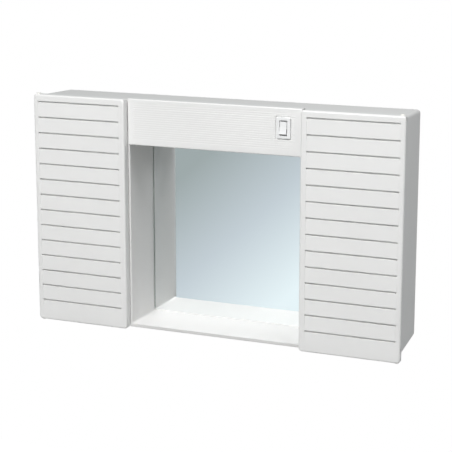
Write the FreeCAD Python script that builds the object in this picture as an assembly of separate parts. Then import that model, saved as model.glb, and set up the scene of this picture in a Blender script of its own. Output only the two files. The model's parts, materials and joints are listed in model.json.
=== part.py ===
"""Bathroom mirror cabinet: a moulded white plastic wall cabinet with an open mirror niche in the
middle, a lit pelmet with a rocker switch above the niche and a louvred door on each side.

Millimetres. +X is right, -Y is the front, +Z is up. The origin is the centre of the four wall
screws, on the back face. Right-hand pieces are modelled and the left-hand ones are mirrored.
"""
import os
import FreeCAD, Part
from math import atan, cos, pi, sin, sqrt, tan

V = FreeCAD.Vector

# Overall sizes
CABINET_W = 590.0          # over the two doors
CABINET_D = 100.0          # from the wall to the door faces
SCREW_CENTRE_H = 180.0     # height of the wall-screw centre above the door bottoms
DRAFT = 0.8                # how far a moulded inner wall leans over its depth

# Doors
DOOR_H = 359.0
DOOR_T = 12.5
DOOR_WALL = 2.2
DOOR_CORNER_R = 5.0
DOOR_EDGE_R = 3.0
DOOR_GAP = 1.0             # between the door backs and the carcass
DOOR_REVEAL = 2.8          # free edge of a door outside the niche wall
BORDER_OUT = 7.6           # plain border round the louvres, at the hinge edge
BORDER_IN = 9.4            # at the free edge
BORDER_TOP = 10.2
BORDER_BOTTOM = 9.0
SLAT_COUNT = 14
SLAT_LEAN = 1.0            # depth of a slat's upper edge, below its lower edge
GROOVE_H = 2.2
GROOVE_D = 4.2
GROOVE_BACK = 1.5          # how far the back of a groove is thickened above and below it
DOOR_RIB_T = 1.6
DOOR_RIB_SET = 1.5         # ribs stop this far inside the back plane
DOOR_RIB_SLATS = (3, 7, 11)

# Hinges
PIVOT_IN = 6.5             # pin axis from the door's outer edge
PIN_R = 1.8
PIN_HEAD_R = 3.5
UPPER_PIN_HEAD_H = 1.8
LOWER_PIN_HEAD_H = 1.0     # flatter, so that it hardly shows under the door
PIN_HEAD_EDGE_R = 0.8
PIN_RUN = 0.05             # radial running clearance
EAR_HALF_W = 3.4
EAR_T = 5.0
EAR_ROOT = 6.0             # how far an ear reaches back into the carcass
EAR_CLEAR = 0.4
LOWER_EAR_UP = 9.0         # lower ear above the carcass bottom
NOTCH_FRONT = 4.3          # door notch in front of the pin axis, for the ear when the door is open

# Carcass
CARCASS_WALL = 2.5
BACK_WALL = 2.5
PARTITION_T = 3.4
SIDE_SET_FRONT = 2.5       # carcass side inside the door's outer edge, at the front
SIDE_SET_REAR = 6.0
TOP_SET_FRONT = 2.0        # carcass top below the door tops
TOP_SET_REAR = 5.0
BOTTOM_SET_FRONT = 8.5     # compartment bottoms above the door bottoms, which makes a finger pull
BOTTOM_SET_REAR = 12.5
CARCASS_CORNER_R = 5.0
POCKET_CORNER_R = 3.0
NICHE_W = 275.2            # between the niche walls at the front
NICHE_EDGE_R = 1.8         # rounding of the niche walls' front edges
TRAY_BOTTOM = 0.5          # niche tray above the door bottoms, at the front
TRAY_RISE = 2.5            # how far the tray's underside rises to the rear
TRAY_CORNER_R = 0.5
TRAY_FLOOR = 5.8           # niche floor above the door bottoms
TRAY_LIP_T = 3.0
TRAY_LIP_LEAN = 0.8        # how far the lip's face leans back towards its foot
TRAY_LIP_CHAMFER = 1.2     # bevel under the lip
TRAY_FLOOR_T = 2.8
TRAY_TOP = 60.0            # the tray block is one with the partitions up to here

# Mirror
MIRROR_T = 3.0
MIRROR_GAP = 0.5
PAD_T = 0.8
PAD_SIZE = 30.0
PAD_IN = 25.0              # pads inside the mirror's edges
MIRROR_LIP_H = 1.6
MIRROR_LIP_T = 2.0
MIRROR_CHAMFER = 0.6

# Lamp compartment, pelmet and diffuser
PELMET_SIDE_GAP = 1.1      # between the pelmet and the doors beside it
PELMET_H = 70.6
PELMET_T = 2.2
PELMET_SEAT = 0.1
PELMET_EDGE_R = 2.0
PELMET_FLANGE = 10.0       # top flange, lying on the carcass
PELMET_RETURN = 20.0       # bottom return
RIB_PITCH = 3.3
RIB_COUNT = 17
RIB_GROOVE_W = 1.3
RIB_GROOVE_D = 0.6
RIB_MARGIN_X = 9.5
RIB_MARGIN_TOP = 7.5
LEDGE_T = 2.0
LEDGE_W = 3.0
DIFFUSER_T = 2.0
DIFFUSER_SIDE = 0.6        # clearance of the diffuser to the niche walls
SEAT = 0.1                 # clearance of a piece on its seat
PELMET_BOSS = 10.0
PELMET_BOSS_H = 13.0
PELMET_BOSS_SET = 3.0      # boss behind the carcass front
SCREW_R = 1.5
SCREW_HEAD_R = 3.2
SCREW_HEAD_H = 2.0
SCREW_L = 10.0
SCREW_FIT = 0.05
SCREW_HOLE_ROOM = 0.3      # radial room of a screw in the piece it holds
SMALL_SCREW_R = 1.3        # screws of the lamp holders and strike plates
SMALL_SCREW_HEAD_R = 2.4
SMALL_SCREW_HEAD_H = 1.6
FITTING_CORNER_R = 2.0     # corners of the small fittings

# Lamps
LAMP_UP = 36.0             # lamp axis above the pelmet's lower edge
LAMP_BACK = 36.0           # lamp axis in front of the wall
HOLDER_PAD = 38.0          # square pad on the niche wall
HOLDER_PAD_T = 2.0
HOLDER_FLANGE_T = 3.0
HOLDER_R = 11.6
HOLDER_L = 34.0
HOLDER_BORE_R = 8.0
HOLDER_BORE_L = 26.0
HOLDER_SCREWS_APART = 29.0  # the two screws of a lamp holder, one above the other
CAP_R = 7.0
CAP_L = 22.0
CAP_TIP_R = 4.0
CAP_TIP_L = 3.0
BULB_R = 22.5
BULB_NECK_L = 14.0         # neck of the bulb, from its cap to the sphere
GLASS_T = 0.8
CAP_WALL = 0.5
CAP_FILL_L = 4.0           # insulation at the closed end of the cap

# Switch
SWITCH_X = 111.0
SWITCH_UP = 41.0           # switch centre above the pelmet's lower edge
BEZEL_W = 21.6
BEZEL_H = 31.0
BEZEL_T = 2.2
BEZEL_CORNER_R = 1.5
BEZEL_EDGE_R = 0.8
BEZEL_ROOM = 1.7           # gap round the bezel, in its recess
BEZEL_RECESS = 1.2         # depth of the recess in the pelmet
HOUSING_W = 17.5
HOUSING_H = 26.0
HOUSING_L = 24.0
HOUSING_FLOOR = 3.0
HOUSING_ROOM = 0.25
ROCKER_W = 10.4
ROCKER_R = 9.6             # rocker ends, round the pivot
ROCKER_CLEAR = 0.7         # beside the rocker
ROCKER_END_CLEAR = 1.5     # above and below it
ROCKER_PIVOT_IN = 2.0      # pivot behind the bezel face
ROCKER_END_OUT = 3.4       # rocker ends in front of the pivot
ROCKER_DIP_OUT = 1.8       # middle of the rocker face in front of the pivot
ROCKER_BACK = 3.0
ROCKER_TONGUE_L = 8.0
ROCKER_TONGUE_W = 5.8
ROCKER_TONGUE_T = 4.0
ROCKER_TILT = 9.0          # degrees either way, at rest the lower end stands out
TRUNNION_R = 1.5
TRUNNION_L = 1.0
TAB_W = 4.8
TAB_T = 0.8
TAB_L = 8.0
TAB_PITCH = 8.0
TAB_COUNT = 3

# Wiring inlet
TERMINAL_X = -20.0
TERMINAL_UP = 56.0         # terminal block above the pelmet's lower edge
TERMINAL_W = 33.0
TERMINAL_H = 14.0
TERMINAL_T = 15.0
TERMINAL_WAYS = 3
TERMINAL_PITCH = 10.0
TERMINAL_BORE_R = 2.0
TERMINAL_SCREW_R = 1.8
TERMINAL_SCREW_IN = 4.0    # clamp screws below the top of the block
INLET_X = 45.0
INLET_UP = 48.0            # cable inlet above the pelmet's lower edge
GROMMET_BORE_R = 4.0
GROMMET_WALL = 2.0
GROMMET_FLANGE_R = 9.0
GROMMET_FLANGE_T = 1.5

# Leads in the lamp compartment
LEAD_R = 1.1
LEAD_BEND = 8.0            # bend radius along a lead's middle
LEAD_ENTRY_ROOM = 0.15     # radial room of a lead in a lamp holder's entry
LEAD_ENTRY_D = 2.5         # how far a lead goes into a lamp holder
LEAD_ENTRY_X = 8.0         # link entries from a lamp holder's flange
LIVE_LINK_DOWN = 2.0       # link leads below the lamp axis
NEUTRAL_LINK_DOWN = 7.0
NEUTRAL_FEED_UP = 5.6      # neutral feed above the lamp axis, at the left lamp holder
SWITCH_FEED_DOWN = 3.0     # switched lead below the lamp axis, at the right lamp holder
LEAD_OFF_WALL = 7.5        # leads in front of the back wall
LEAD_IN_BLOCK = 5.0        # how far a lead goes up into the terminal block
LEAD_LOOP_DOWN = 11.4      # how far the live feed hangs below the terminal block
LEAD_RISE_X = 20.0         # where the live feed has risen to its tab on the switch

# Shelves in the side compartments
LOWER_SHELF_UP = 122.0     # shelf undersides above the door bottoms
UPPER_SHELF_UP = 236.0
SHELF_T = 2.2
SHELF_SIDE = 0.5
SHELF_FRONT_SET = 6.0      # shelf behind the carcass front
SHELF_LIP_H = 8.0
SHELF_LIP_T = 2.0
SHELF_BACK_GAP = 1.0
SHELF_LEDGE_H = 2.5

# Magnetic catches
CATCH_UP = 180.0           # catch centre above the door bottoms
CATCH_PAD_T = 1.0
CATCH_W = 12.0
CATCH_H = 40.0
CATCH_L = 14.0
MAGNET_W = 6.0
MAGNET_H = 28.0
MAGNET_L = 9.0
MAGNET_OUT = 0.3
STRIKE_GAP = 0.3
STRIKE_T = 1.0
STRIKE_W = 10.0
STRIKE_H = 34.0
STRIKE_BOSS = 1.0          # boss round the strike, beyond its edges

# Wall screws
WALL_SCREW_X = 430.0       # hole spacing
WALL_SCREW_Z = 240.0
WALL_HOLE_R = 2.75
WALL_BOSS_R = 7.0
WALL_BOSS_H = 2.0

# Places worked out from the sizes
HALF_W = CABINET_W / 2
DOOR_FRONT = -CABINET_D
DOOR_BACK = DOOR_FRONT + DOOR_T
CARCASS_FRONT = DOOR_BACK + DOOR_GAP
DOOR_BOTTOM = -SCREW_CENTRE_H
DOOR_TOP = DOOR_BOTTOM + DOOR_H
PIVOT_X = HALF_W - PIVOT_IN
PIVOT_Y = DOOR_FRONT + DOOR_T / 2
NICHE_HALF = NICHE_W / 2
DOOR_IN = NICHE_HALF + DOOR_REVEAL
SLAT_PITCH = (DOOR_H - BORDER_TOP - BORDER_BOTTOM) / SLAT_COUNT
NICHE_FLOOR = DOOR_BOTTOM + TRAY_FLOOR
BACK_FACE = -BACK_WALL
PARTITION_OUT = NICHE_HALF + PARTITION_T
UPPER_EAR_TOP = DOOR_TOP - DOOR_WALL - EAR_CLEAR
LOWER_EAR_BOTTOM = DOOR_BOTTOM + BOTTOM_SET_FRONT + LOWER_EAR_UP
PELMET_HALF = DOOR_IN - PELMET_SIDE_GAP
PELMET_TOP = DOOR_TOP
PELMET_BOTTOM = PELMET_TOP - PELMET_H
PELMET_FRONT = CARCASS_FRONT - PELMET_SEAT - PELMET_T
LEDGE_TOP = PELMET_BOTTOM + PELMET_T
MIRROR_BACK = BACK_FACE - PAD_T
MIRROR_FRONT = MIRROR_BACK - MIRROR_T
SWITCH_Z = PELMET_BOTTOM + SWITCH_UP
LAMP_Z = PELMET_BOTTOM + LAMP_UP
LAMP_Y = -LAMP_BACK
HOLDER_SEAT_X = NICHE_HALF - HOLDER_PAD_T
CATCH_Z = DOOR_BOTTOM + CATCH_UP
CATCH_SEAT_X = PARTITION_OUT + CATCH_PAD_T
TERMINAL_Z = PELMET_BOTTOM + TERMINAL_UP
INLET_Z = PELMET_BOTTOM + INLET_UP
SAME = 1e-6                # points closer than this are one point


def block(x0, x1, y0, y1, z0, z1):
    """A box between two corners."""
    return Part.makeBox(x1 - x0, y1 - y0, z1 - z0, V(x0, y0, z0))


def rod(radius, start, end):
    """A round bar from one point to another."""
    run = end - start
    return Part.makeCylinder(radius, run.Length, start, run)


def rounded_outline(x0, x1, z0, z1, r, y):
    """A rounded rectangle in a plane that faces the front."""
    k = r * (1 - sqrt(0.5))
    lines = [
        Part.makeLine(V(x0 + r, y, z0), V(x1 - r, y, z0)),
        Part.Arc(V(x1 - r, y, z0), V(x1 - k, y, z0 + k), V(x1, y, z0 + r)).toShape(),
        Part.makeLine(V(x1, y, z0 + r), V(x1, y, z1 - r)),
        Part.Arc(V(x1, y, z1 - r), V(x1 - k, y, z1 - k), V(x1 - r, y, z1)).toShape(),
        Part.makeLine(V(x1 - r, y, z1), V(x0 + r, y, z1)),
        Part.Arc(V(x0 + r, y, z1), V(x0 + k, y, z1 - k), V(x0, y, z1 - r)).toShape(),
        Part.makeLine(V(x0, y, z1 - r), V(x0, y, z0 + r)),
        Part.Arc(V(x0, y, z0 + r), V(x0 + k, y, z0 + k), V(x0 + r, y, z0)).toShape(),
    ]
    return Part.Wire(lines)


def drafted(front, y_front, rear, y_rear, r):
    """A moulded block that tapers from its front outline to its rear one."""
    wires = [rounded_outline(*front, r, y_front), rounded_outline(*rear, r, y_rear)]
    return Part.makeLoft(wires, True, True)


def slab(x0, x1, z0, z1, r, y0, y1):
    """A plate with rounded corners that faces the front."""
    return Part.Face(rounded_outline(x0, x1, z0, z1, r, y0)).extrude(V(0, y1 - y0, 0))


def prism_x(points, x0, x1):
    """An outline of (y, z) points, extruded along X."""
    wire = Part.makePolygon([V(x0, y, z) for y, z in points + points[:1]])
    return Part.Face(wire).extrude(V(x1 - x0, 0, 0))


def prism_z(points, z0, z1):
    """An outline of (x, y) points, extruded along Z."""
    wire = Part.makePolygon([V(x, y, z0) for x, y in points + points[:1]])
    return Part.Face(wire).extrude(V(0, 0, z1 - z0))


def revolve_x(points, y, z):
    """An outline of (x, radius) points, turned about a line along X."""
    wire = Part.makePolygon([V(x, y, z + r) for x, r in points + points[:1]])
    return Part.Face(wire).revolve(V(0, y, z), V(1, 0, 0), 360)


def mirrored(shape):
    """The left-hand twin of a right-hand piece."""
    return shape.mirror(V(0, 0, 0), V(1, 0, 0))


def both_sides(shape):
    """A right-hand piece with its left-hand twin, as separate solids."""
    return Part.makeCompound([shape, mirrored(shape)])


def edges_at(shape, test):
    """The edges whose two ends both pass a test."""
    return [e for e in shape.Edges if all(test(v.Point) for v in e.Vertexes)]


def save(name, shape):
    """Write one named piece."""
    solids = shape.Solids
    bad = [s for s in solids if not s.isValid()]
    volume = sum(s.Volume for s in solids) / 1000
    print(f"{name}: {len(solids)} solid, {volume:.2f} cm3{' NOT VALID' if bad or not solids else ''}")
    shape.exportStep(f"parts/{name}.step")


# Carcass: one drafted moulding with two side compartments, the niche and the hinge ears

def carcass_width(y):
    """Half the carcass's outer width at a depth."""
    share = (y - CARCASS_FRONT) / -CARCASS_FRONT
    return HALF_W - SIDE_SET_FRONT - share * (SIDE_SET_REAR - SIDE_SET_FRONT)


def ear(z0, z1):
    """A hinge ear: a tongue with a round end and the pin's bore."""
    root = CARCASS_FRONT + EAR_ROOT
    tongue = block(PIVOT_X - EAR_HALF_W, PIVOT_X + EAR_HALF_W, PIVOT_Y, root, z0, z1)
    end = rod(EAR_HALF_W, V(PIVOT_X, PIVOT_Y, z0), V(PIVOT_X, PIVOT_Y, z1))
    return tongue.fuse(end)


def compartment_pocket():
    """The hollow of the right side compartment, open to the front."""
    wall = CARCASS_WALL
    front = (PARTITION_OUT, carcass_width(CARCASS_FRONT) - wall,
             DOOR_BOTTOM + BOTTOM_SET_FRONT + wall, DOOR_TOP - TOP_SET_FRONT - wall)
    rear = (PARTITION_OUT + DRAFT, carcass_width(0) - wall,
            DOOR_BOTTOM + BOTTOM_SET_REAR + wall, DOOR_TOP - TOP_SET_REAR - wall)
    return drafted(front, CARCASS_FRONT, rear, BACK_FACE, POCKET_CORNER_R)


def niche_pocket():
    """The hollow of the niche and of the lamp compartment above it."""
    front = (-NICHE_HALF, NICHE_HALF, NICHE_FLOOR, DOOR_TOP - TOP_SET_FRONT - CARCASS_WALL)
    rear = (-NICHE_HALF + DRAFT, NICHE_HALF - DRAFT, NICHE_FLOOR + DRAFT,
            DOOR_TOP - TOP_SET_REAR - CARCASS_WALL)
    return drafted(front, CARCASS_FRONT, rear, BACK_FACE, POCKET_CORNER_R)


def shelf_ledges(z):
    """The two ribs that carry a shelf in the right compartment."""
    y0 = CARCASS_FRONT + SHELF_FRONT_SET
    at_partition = block(PARTITION_OUT - DRAFT, PARTITION_OUT + LEDGE_W, y0, BACK_FACE,
                         z - SHELF_LEDGE_H, z)
    outer = [(carcass_width(y0) - CARCASS_WALL - LEDGE_W, y0), (carcass_width(y0) - CARCASS_WALL / 2, y0),
             (carcass_width(BACK_FACE) - CARCASS_WALL / 2, BACK_FACE),
             (carcass_width(BACK_FACE) - CARCASS_WALL - LEDGE_W, BACK_FACE)]
    return [at_partition, prism_z(outer, z - SHELF_LEDGE_H, z)]


def niche_edge():
    """What rounding takes off the front edge of the right niche wall, below the pelmet."""
    r = NICHE_EDGE_R
    lean = atan(DRAFT / (BACK_FACE - CARCASS_FRONT))
    # the rounding touches the carcass front and the leaning wall
    centre = V(NICHE_HALF + r * (1 - sin(lean)) / cos(lean), CARCASS_FRONT + r, NICHE_FLOOR)
    on_wall = centre - V(cos(lean), sin(lean), 0) * r
    on_front = centre - V(0, r, 0)
    between = centre - V(cos(lean), 1 + sin(lean), 0).normalize() * r
    off_wall, off_front = on_wall - V(r, 0, 0), on_front - V(0, r, 0)
    outside = V(off_wall.x, off_front.y, NICHE_FLOOR)
    lines = [Part.makeLine(a, b) for a, b in (
        (on_wall, off_wall), (off_wall, outside), (outside, off_front), (off_front, on_front))]
    outline = Part.Wire(lines + [Part.Arc(on_front, between, on_wall).toShape()])
    return Part.Face(outline).extrude(V(0, 0, PELMET_BOTTOM - NICHE_FLOOR))


def carcass():
    """The cabinet body."""
    main = drafted(
        (-carcass_width(CARCASS_FRONT), carcass_width(CARCASS_FRONT),
         DOOR_BOTTOM + BOTTOM_SET_FRONT, DOOR_TOP - TOP_SET_FRONT), CARCASS_FRONT,
        (-carcass_width(0), carcass_width(0),
         DOOR_BOTTOM + BOTTOM_SET_REAR, DOOR_TOP - TOP_SET_REAR), 0, CARCASS_CORNER_R)
    tray = drafted(
        (-PARTITION_OUT, PARTITION_OUT, DOOR_BOTTOM + TRAY_BOTTOM, DOOR_BOTTOM + TRAY_TOP), CARCASS_FRONT,
        (-PARTITION_OUT, PARTITION_OUT, DOOR_BOTTOM + TRAY_BOTTOM + TRAY_RISE, DOOR_BOTTOM + TRAY_TOP), 0,
        TRAY_CORNER_R)
    # the lip's face leans back, with a bevel at its foot
    foot_y, foot_z = CARCASS_FRONT + TRAY_LIP_LEAN, DOOR_BOTTOM + TRAY_BOTTOM
    off_y, off_z = CARCASS_FRONT - TRAY_LIP_T, foot_z - TRAY_RISE
    lip = [(off_y, NICHE_FLOOR), (CARCASS_FRONT, NICHE_FLOOR), (foot_y, foot_z + TRAY_LIP_CHAMFER),
           (foot_y + TRAY_LIP_CHAMFER, foot_z), (foot_y + TRAY_LIP_CHAMFER, off_z), (off_y, off_z)]
    tray = tray.cut(prism_x(lip, -PARTITION_OUT, PARTITION_OUT))
    under = block(-NICHE_HALF, NICHE_HALF, CARCASS_FRONT + TRAY_LIP_T, BACK_FACE,
                  DOOR_BOTTOM - TRAY_RISE, NICHE_FLOOR - TRAY_FLOOR_T)
    pocket = compartment_pocket()
    edge = niche_edge()
    body = main.fuse(tray).cut([pocket, mirrored(pocket), niche_pocket(), under, edge, mirrored(edge)])

    right = [ear(UPPER_EAR_TOP - EAR_T, UPPER_EAR_TOP), ear(LOWER_EAR_BOTTOM, LOWER_EAR_BOTTOM + EAR_T)]
    for up in (LOWER_SHELF_UP, UPPER_SHELF_UP):
        right += shelf_ledges(DOOR_BOTTOM + up)
    # pads for the catch and the lamp holder, the pelmet's screw boss and the diffuser's side ledge
    right.append(block(PARTITION_OUT - DRAFT, CATCH_SEAT_X, CARCASS_FRONT, CARCASS_FRONT + CATCH_L,
                       CATCH_Z - CATCH_H / 2, CATCH_Z + CATCH_H / 2))
    half_pad = HOLDER_PAD / 2
    right.append(block(HOLDER_SEAT_X, NICHE_HALF + DRAFT, LAMP_Y - half_pad, LAMP_Y + half_pad,
                       LAMP_Z - half_pad, LAMP_Z + half_pad))
    boss_y = CARCASS_FRONT + PELMET_BOSS_SET
    right.append(block(NICHE_HALF - PELMET_BOSS, NICHE_HALF + DRAFT, boss_y, boss_y + PELMET_BOSS,
                       LEDGE_TOP + SEAT, LEDGE_TOP + SEAT + PELMET_BOSS_H))
    ledge_y = PELMET_FRONT + PELMET_RETURN + SEAT
    right.append(block(NICHE_HALF - LEDGE_W, NICHE_HALF + DRAFT, ledge_y, BACK_FACE,
                       LEDGE_TOP - LEDGE_T, LEDGE_TOP))
    for z in (-WALL_SCREW_Z / 2, WALL_SCREW_Z / 2):
        x = WALL_SCREW_X / 2
        right.append(rod(WALL_BOSS_R, V(x, BACK_FACE - WALL_BOSS_H, z), V(x, 0, z)))
    added = right + [mirrored(s) for s in right]
    # a lip holds the foot of the mirror, and a ledge its head and the back of the diffuser
    lip_back = MIRROR_FRONT - SEAT
    added.append(block(-NICHE_HALF, NICHE_HALF, lip_back - MIRROR_LIP_T, lip_back,
                       NICHE_FLOOR - DRAFT, NICHE_FLOOR + DRAFT + MIRROR_LIP_H))
    added.append(block(-NICHE_HALF, NICHE_HALF, MIRROR_FRONT - LEDGE_W, BACK_FACE / 2,
                       LEDGE_TOP - LEDGE_T, LEDGE_TOP))
    body = body.fuse(added).removeSplitter()

    holes = [rod(GROMMET_BORE_R + GROMMET_WALL, V(INLET_X, -CABINET_D / 2, INLET_Z),
                 V(INLET_X, BACK_WALL, INLET_Z))]
    for side in (-1, 1):
        for z in (-WALL_SCREW_Z / 2, WALL_SCREW_Z / 2):
            x = side * WALL_SCREW_X / 2
            holes.append(rod(WALL_HOLE_R, V(x, -CABINET_D / 2, z), V(x, BACK_WALL, z)))
        axis = V(side * PIVOT_X, PIVOT_Y, 0)
        holes.append(rod(PIN_R + PIN_RUN, axis + V(0, 0, UPPER_EAR_TOP - EAR_T), axis + V(0, 0, DOOR_TOP)))
        holes.append(rod(PIN_R + PIN_RUN, axis + V(0, 0, DOOR_BOTTOM),
                         axis + V(0, 0, LOWER_EAR_BOTTOM + EAR_T)))
        screw = V(side * pelmet_screw_x(), pelmet_screw_y(), LEDGE_TOP)
        holes.append(rod(SCREW_R + SCREW_FIT, screw, screw + V(0, 0, SCREW_L)))
        for dz in (-HOLDER_SCREWS_APART / 2, HOLDER_SCREWS_APART / 2):
            start = V(side * HOLDER_SEAT_X, LAMP_Y, LAMP_Z + dz)
            end = start + V(side * holder_screw_depth(), 0, 0)
            holes.append(rod(SMALL_SCREW_R + SCREW_FIT, start, end))
    return body.cut(holes)


# Doors: a louvred moulding, hollow at the back, on two pins

def slat_tops():
    """The height of each groove, which is the top of the slat below it."""
    return [DOOR_TOP - BORDER_TOP - i * SLAT_PITCH for i in range(SLAT_COUNT)]


def louvre_cut():
    """What the louvres take out of the door's face: a saw-tooth with a groove over each slat."""
    points = [(DOOR_FRONT - DOOR_T, slat_tops()[0]), (DOOR_FRONT, slat_tops()[0])]
    for top in slat_tops():
        points += [(DOOR_FRONT + GROOVE_D, top), (DOOR_FRONT + GROOVE_D, top - GROOVE_H),
                   (DOOR_FRONT + SLAT_LEAN, top - GROOVE_H), (DOOR_FRONT, top - SLAT_PITCH)]
    points.append((DOOR_FRONT - DOOR_T, slat_tops()[-1] - SLAT_PITCH))
    return prism_x(points, DOOR_IN + BORDER_IN, HALF_W - BORDER_OUT)


def door_hollow():
    """The hollow at the back of the door, whose face follows the louvres at one wall's thickness."""
    face = DOOR_FRONT + DOOR_WALL
    low, high = DOOR_BOTTOM + DOOR_WALL, DOOR_TOP - DOOR_WALL
    points = [(DOOR_BACK + DOOR_GAP, high), (face, high)]
    for top in slat_tops():
        lower = top - GROOVE_H - GROOVE_BACK
        points += [(face, top + GROOVE_BACK), (face + GROOVE_D, top + GROOVE_BACK),
                   (face + GROOVE_D, lower), (face + SLAT_LEAN, lower)]
    points += [(face, slat_tops()[-1] - SLAT_PITCH + GROOVE_BACK), (face, low), (DOOR_BACK + DOOR_GAP, low)]
    main = prism_x(points, DOOR_IN + DOOR_WALL, PIVOT_X)
    inner_r = PIVOT_IN - DOOR_WALL
    beside = block(PIVOT_X, PIVOT_X + inner_r, face, PIVOT_Y, low, high)
    barrel = rod(inner_r, V(PIVOT_X, PIVOT_Y, low), V(PIVOT_X, PIVOT_Y, high))
    outer_half = barrel.common(block(PIVOT_X, HALF_W, DOOR_FRONT, DOOR_BACK, low, high))
    return main.fuse([beside, outer_half])


def right_door():
    """The right door, closed."""
    shell = slab(DOOR_IN, HALF_W, DOOR_BOTTOM, DOOR_TOP, DOOR_CORNER_R, DOOR_FRONT, DOOR_BACK)
    shell = shell.makeFillet(DOOR_EDGE_R, edges_at(shell, lambda p: abs(p.y - DOOR_FRONT) < SAME))
    # the hinge edge is rounded about the pin at the back, so that it turns clear of the carcass
    below, above = DOOR_BOTTOM - DOOR_T, DOOR_TOP + DOOR_T
    corner = block(PIVOT_X, HALF_W + DOOR_T, PIVOT_Y, DOOR_BACK + DOOR_GAP, below, above)
    barrel = rod(PIVOT_IN, V(PIVOT_X, PIVOT_Y, below), V(PIVOT_X, PIVOT_Y, above))
    shell = shell.cut(corner.cut(barrel))
    shell = shell.cut([louvre_cut(), door_hollow()])
    # ribs behind three of the grooves, the boss of the lower pin and the seat of the strike plate
    added = []
    for i in DOOR_RIB_SLATS:
        z = slat_tops()[i] - GROOVE_H / 2
        added.append(block(DOOR_IN + DOOR_WALL / 2, PIVOT_X - EAR_HALF_W - DOOR_WALL,
                           DOOR_FRONT + GROOVE_D + DOOR_WALL / 2, DOOR_BACK - DOOR_RIB_SET,
                           z - DOOR_RIB_T / 2, z + DOOR_RIB_T / 2))
    boss_top = LOWER_EAR_BOTTOM - EAR_CLEAR
    boss_bottom = DOOR_BOTTOM + DOOR_WALL / 2
    added.append(rod(EAR_HALF_W, V(PIVOT_X, PIVOT_Y, boss_bottom), V(PIVOT_X, PIVOT_Y, boss_top)))
    half_w, half_h = STRIKE_W / 2 + STRIKE_BOSS, STRIKE_H / 2 + STRIKE_BOSS
    added.append(block(strike_x() - half_w, strike_x() + half_w, DOOR_FRONT + DOOR_WALL + GROOVE_D / 2,
                       strike_back(), CATCH_Z - half_h, CATCH_Z + half_h))
    shell = shell.fuse(added).removeSplitter()
    pin_hole_r = PIN_R + SCREW_FIT
    cuts = [rod(pin_hole_r, V(PIVOT_X, PIVOT_Y, below), V(PIVOT_X, PIVOT_Y, boss_top)),
            rod(pin_hole_r, V(PIVOT_X, PIVOT_Y, UPPER_EAR_TOP), V(PIVOT_X, PIVOT_Y, above))]
    # notches let the ears pass as the door opens
    for z0 in (UPPER_EAR_TOP - EAR_T, LOWER_EAR_BOTTOM):
        cuts.append(block(PIVOT_X - EAR_HALF_W - EAR_CLEAR, HALF_W + DOOR_T, PIVOT_Y - NOTCH_FRONT,
                          DOOR_BACK + DOOR_GAP, z0 - EAR_CLEAR, z0 + EAR_T + EAR_CLEAR))
    screw = V(strike_x(), strike_back(), CATCH_Z)
    cuts.append(rod(SMALL_SCREW_R + SCREW_FIT, screw, screw - V(0, strike_screw_depth(), 0)))
    return shell.cut(cuts)


def hinge_pin(z_seat, z_face, z_end):
    """A hinge pin: a head with a rounded rim between its seat and face, and a shank to the pin's end."""
    seat, face = V(PIVOT_X, PIVOT_Y, z_seat), V(PIVOT_X, PIVOT_Y, z_face)
    head = rod(PIN_HEAD_R, seat, face)
    head = head.makeFillet(PIN_HEAD_EDGE_R, edges_at(head, lambda p: abs(p.z - face.z) < SAME))
    return head.fuse(rod(PIN_R, seat, V(PIVOT_X, PIVOT_Y, z_end))).removeSplitter()


# Catches

def strike_x():
    """The middle of the catch and of its strike plate."""
    return CATCH_SEAT_X + CATCH_W / 2


def strike_back():
    """The seat of the strike plate on the door's boss."""
    return CARCASS_FRONT - MAGNET_OUT - STRIKE_GAP - STRIKE_T


def strike_screw_depth():
    """How far the strike's screw goes into the boss."""
    return (strike_back() - DOOR_FRONT - DOOR_WALL) / 2


def catch_housing():
    """The housing of the right catch, with the pocket of its magnet."""
    body = slab(CATCH_SEAT_X, CATCH_SEAT_X + CATCH_W, CATCH_Z - CATCH_H / 2, CATCH_Z + CATCH_H / 2,
                FITTING_CORNER_R, CARCASS_FRONT, CARCASS_FRONT + CATCH_L)
    x, w, h = strike_x(), MAGNET_W / 2 + SEAT, MAGNET_H / 2 + SEAT
    pocket = block(x - w, x + w, CARCASS_FRONT - MAGNET_OUT, CARCASS_FRONT + MAGNET_L,
                   CATCH_Z - h, CATCH_Z + h)
    return body.cut(pocket)


def catch_magnet():
    """The magnet of the right catch."""
    x, w, h = strike_x(), MAGNET_W / 2, MAGNET_H / 2
    return block(x - w, x + w, CARCASS_FRONT - MAGNET_OUT, CARCASS_FRONT + MAGNET_L,
                 CATCH_Z - h, CATCH_Z + h)


def strike_plate():
    """The steel plate on the right door."""
    x, w, h = strike_x(), STRIKE_W / 2, STRIKE_H / 2
    plate = slab(x - w, x + w, CATCH_Z - h, CATCH_Z + h, FITTING_CORNER_R,
                 strike_back(), strike_back() + STRIKE_T)
    return plate.cut(strike_screw(SCREW_FIT))


def strike_screw(room=0.0):
    """The countersunk screw of the strike plate, or with room round it its hole."""
    seat = V(strike_x(), strike_back() + STRIKE_T, CATCH_Z)
    head = Part.makeCone(SMALL_SCREW_HEAD_R + room, SMALL_SCREW_R + room, STRIKE_T, seat, V(0, -1, 0))
    neck = seat - V(0, STRIKE_T, 0)
    shaft = rod(SMALL_SCREW_R + room, neck, neck - V(0, strike_screw_depth(), 0))
    return head.fuse(shaft)


# Mirror

def mirror_plate():
    """The silvered glass at the back of the niche, with a ground edge."""
    half = NICHE_HALF - DRAFT - MIRROR_GAP
    plate = slab(-half, half, NICHE_FLOOR + DRAFT + SEAT, LEDGE_TOP - LEDGE_T - SEAT,
                 POCKET_CORNER_R, MIRROR_FRONT, MIRROR_BACK)
    return plate.makeChamfer(MIRROR_CHAMFER, edges_at(plate, lambda p: abs(p.y - MIRROR_FRONT) < SAME))


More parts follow.
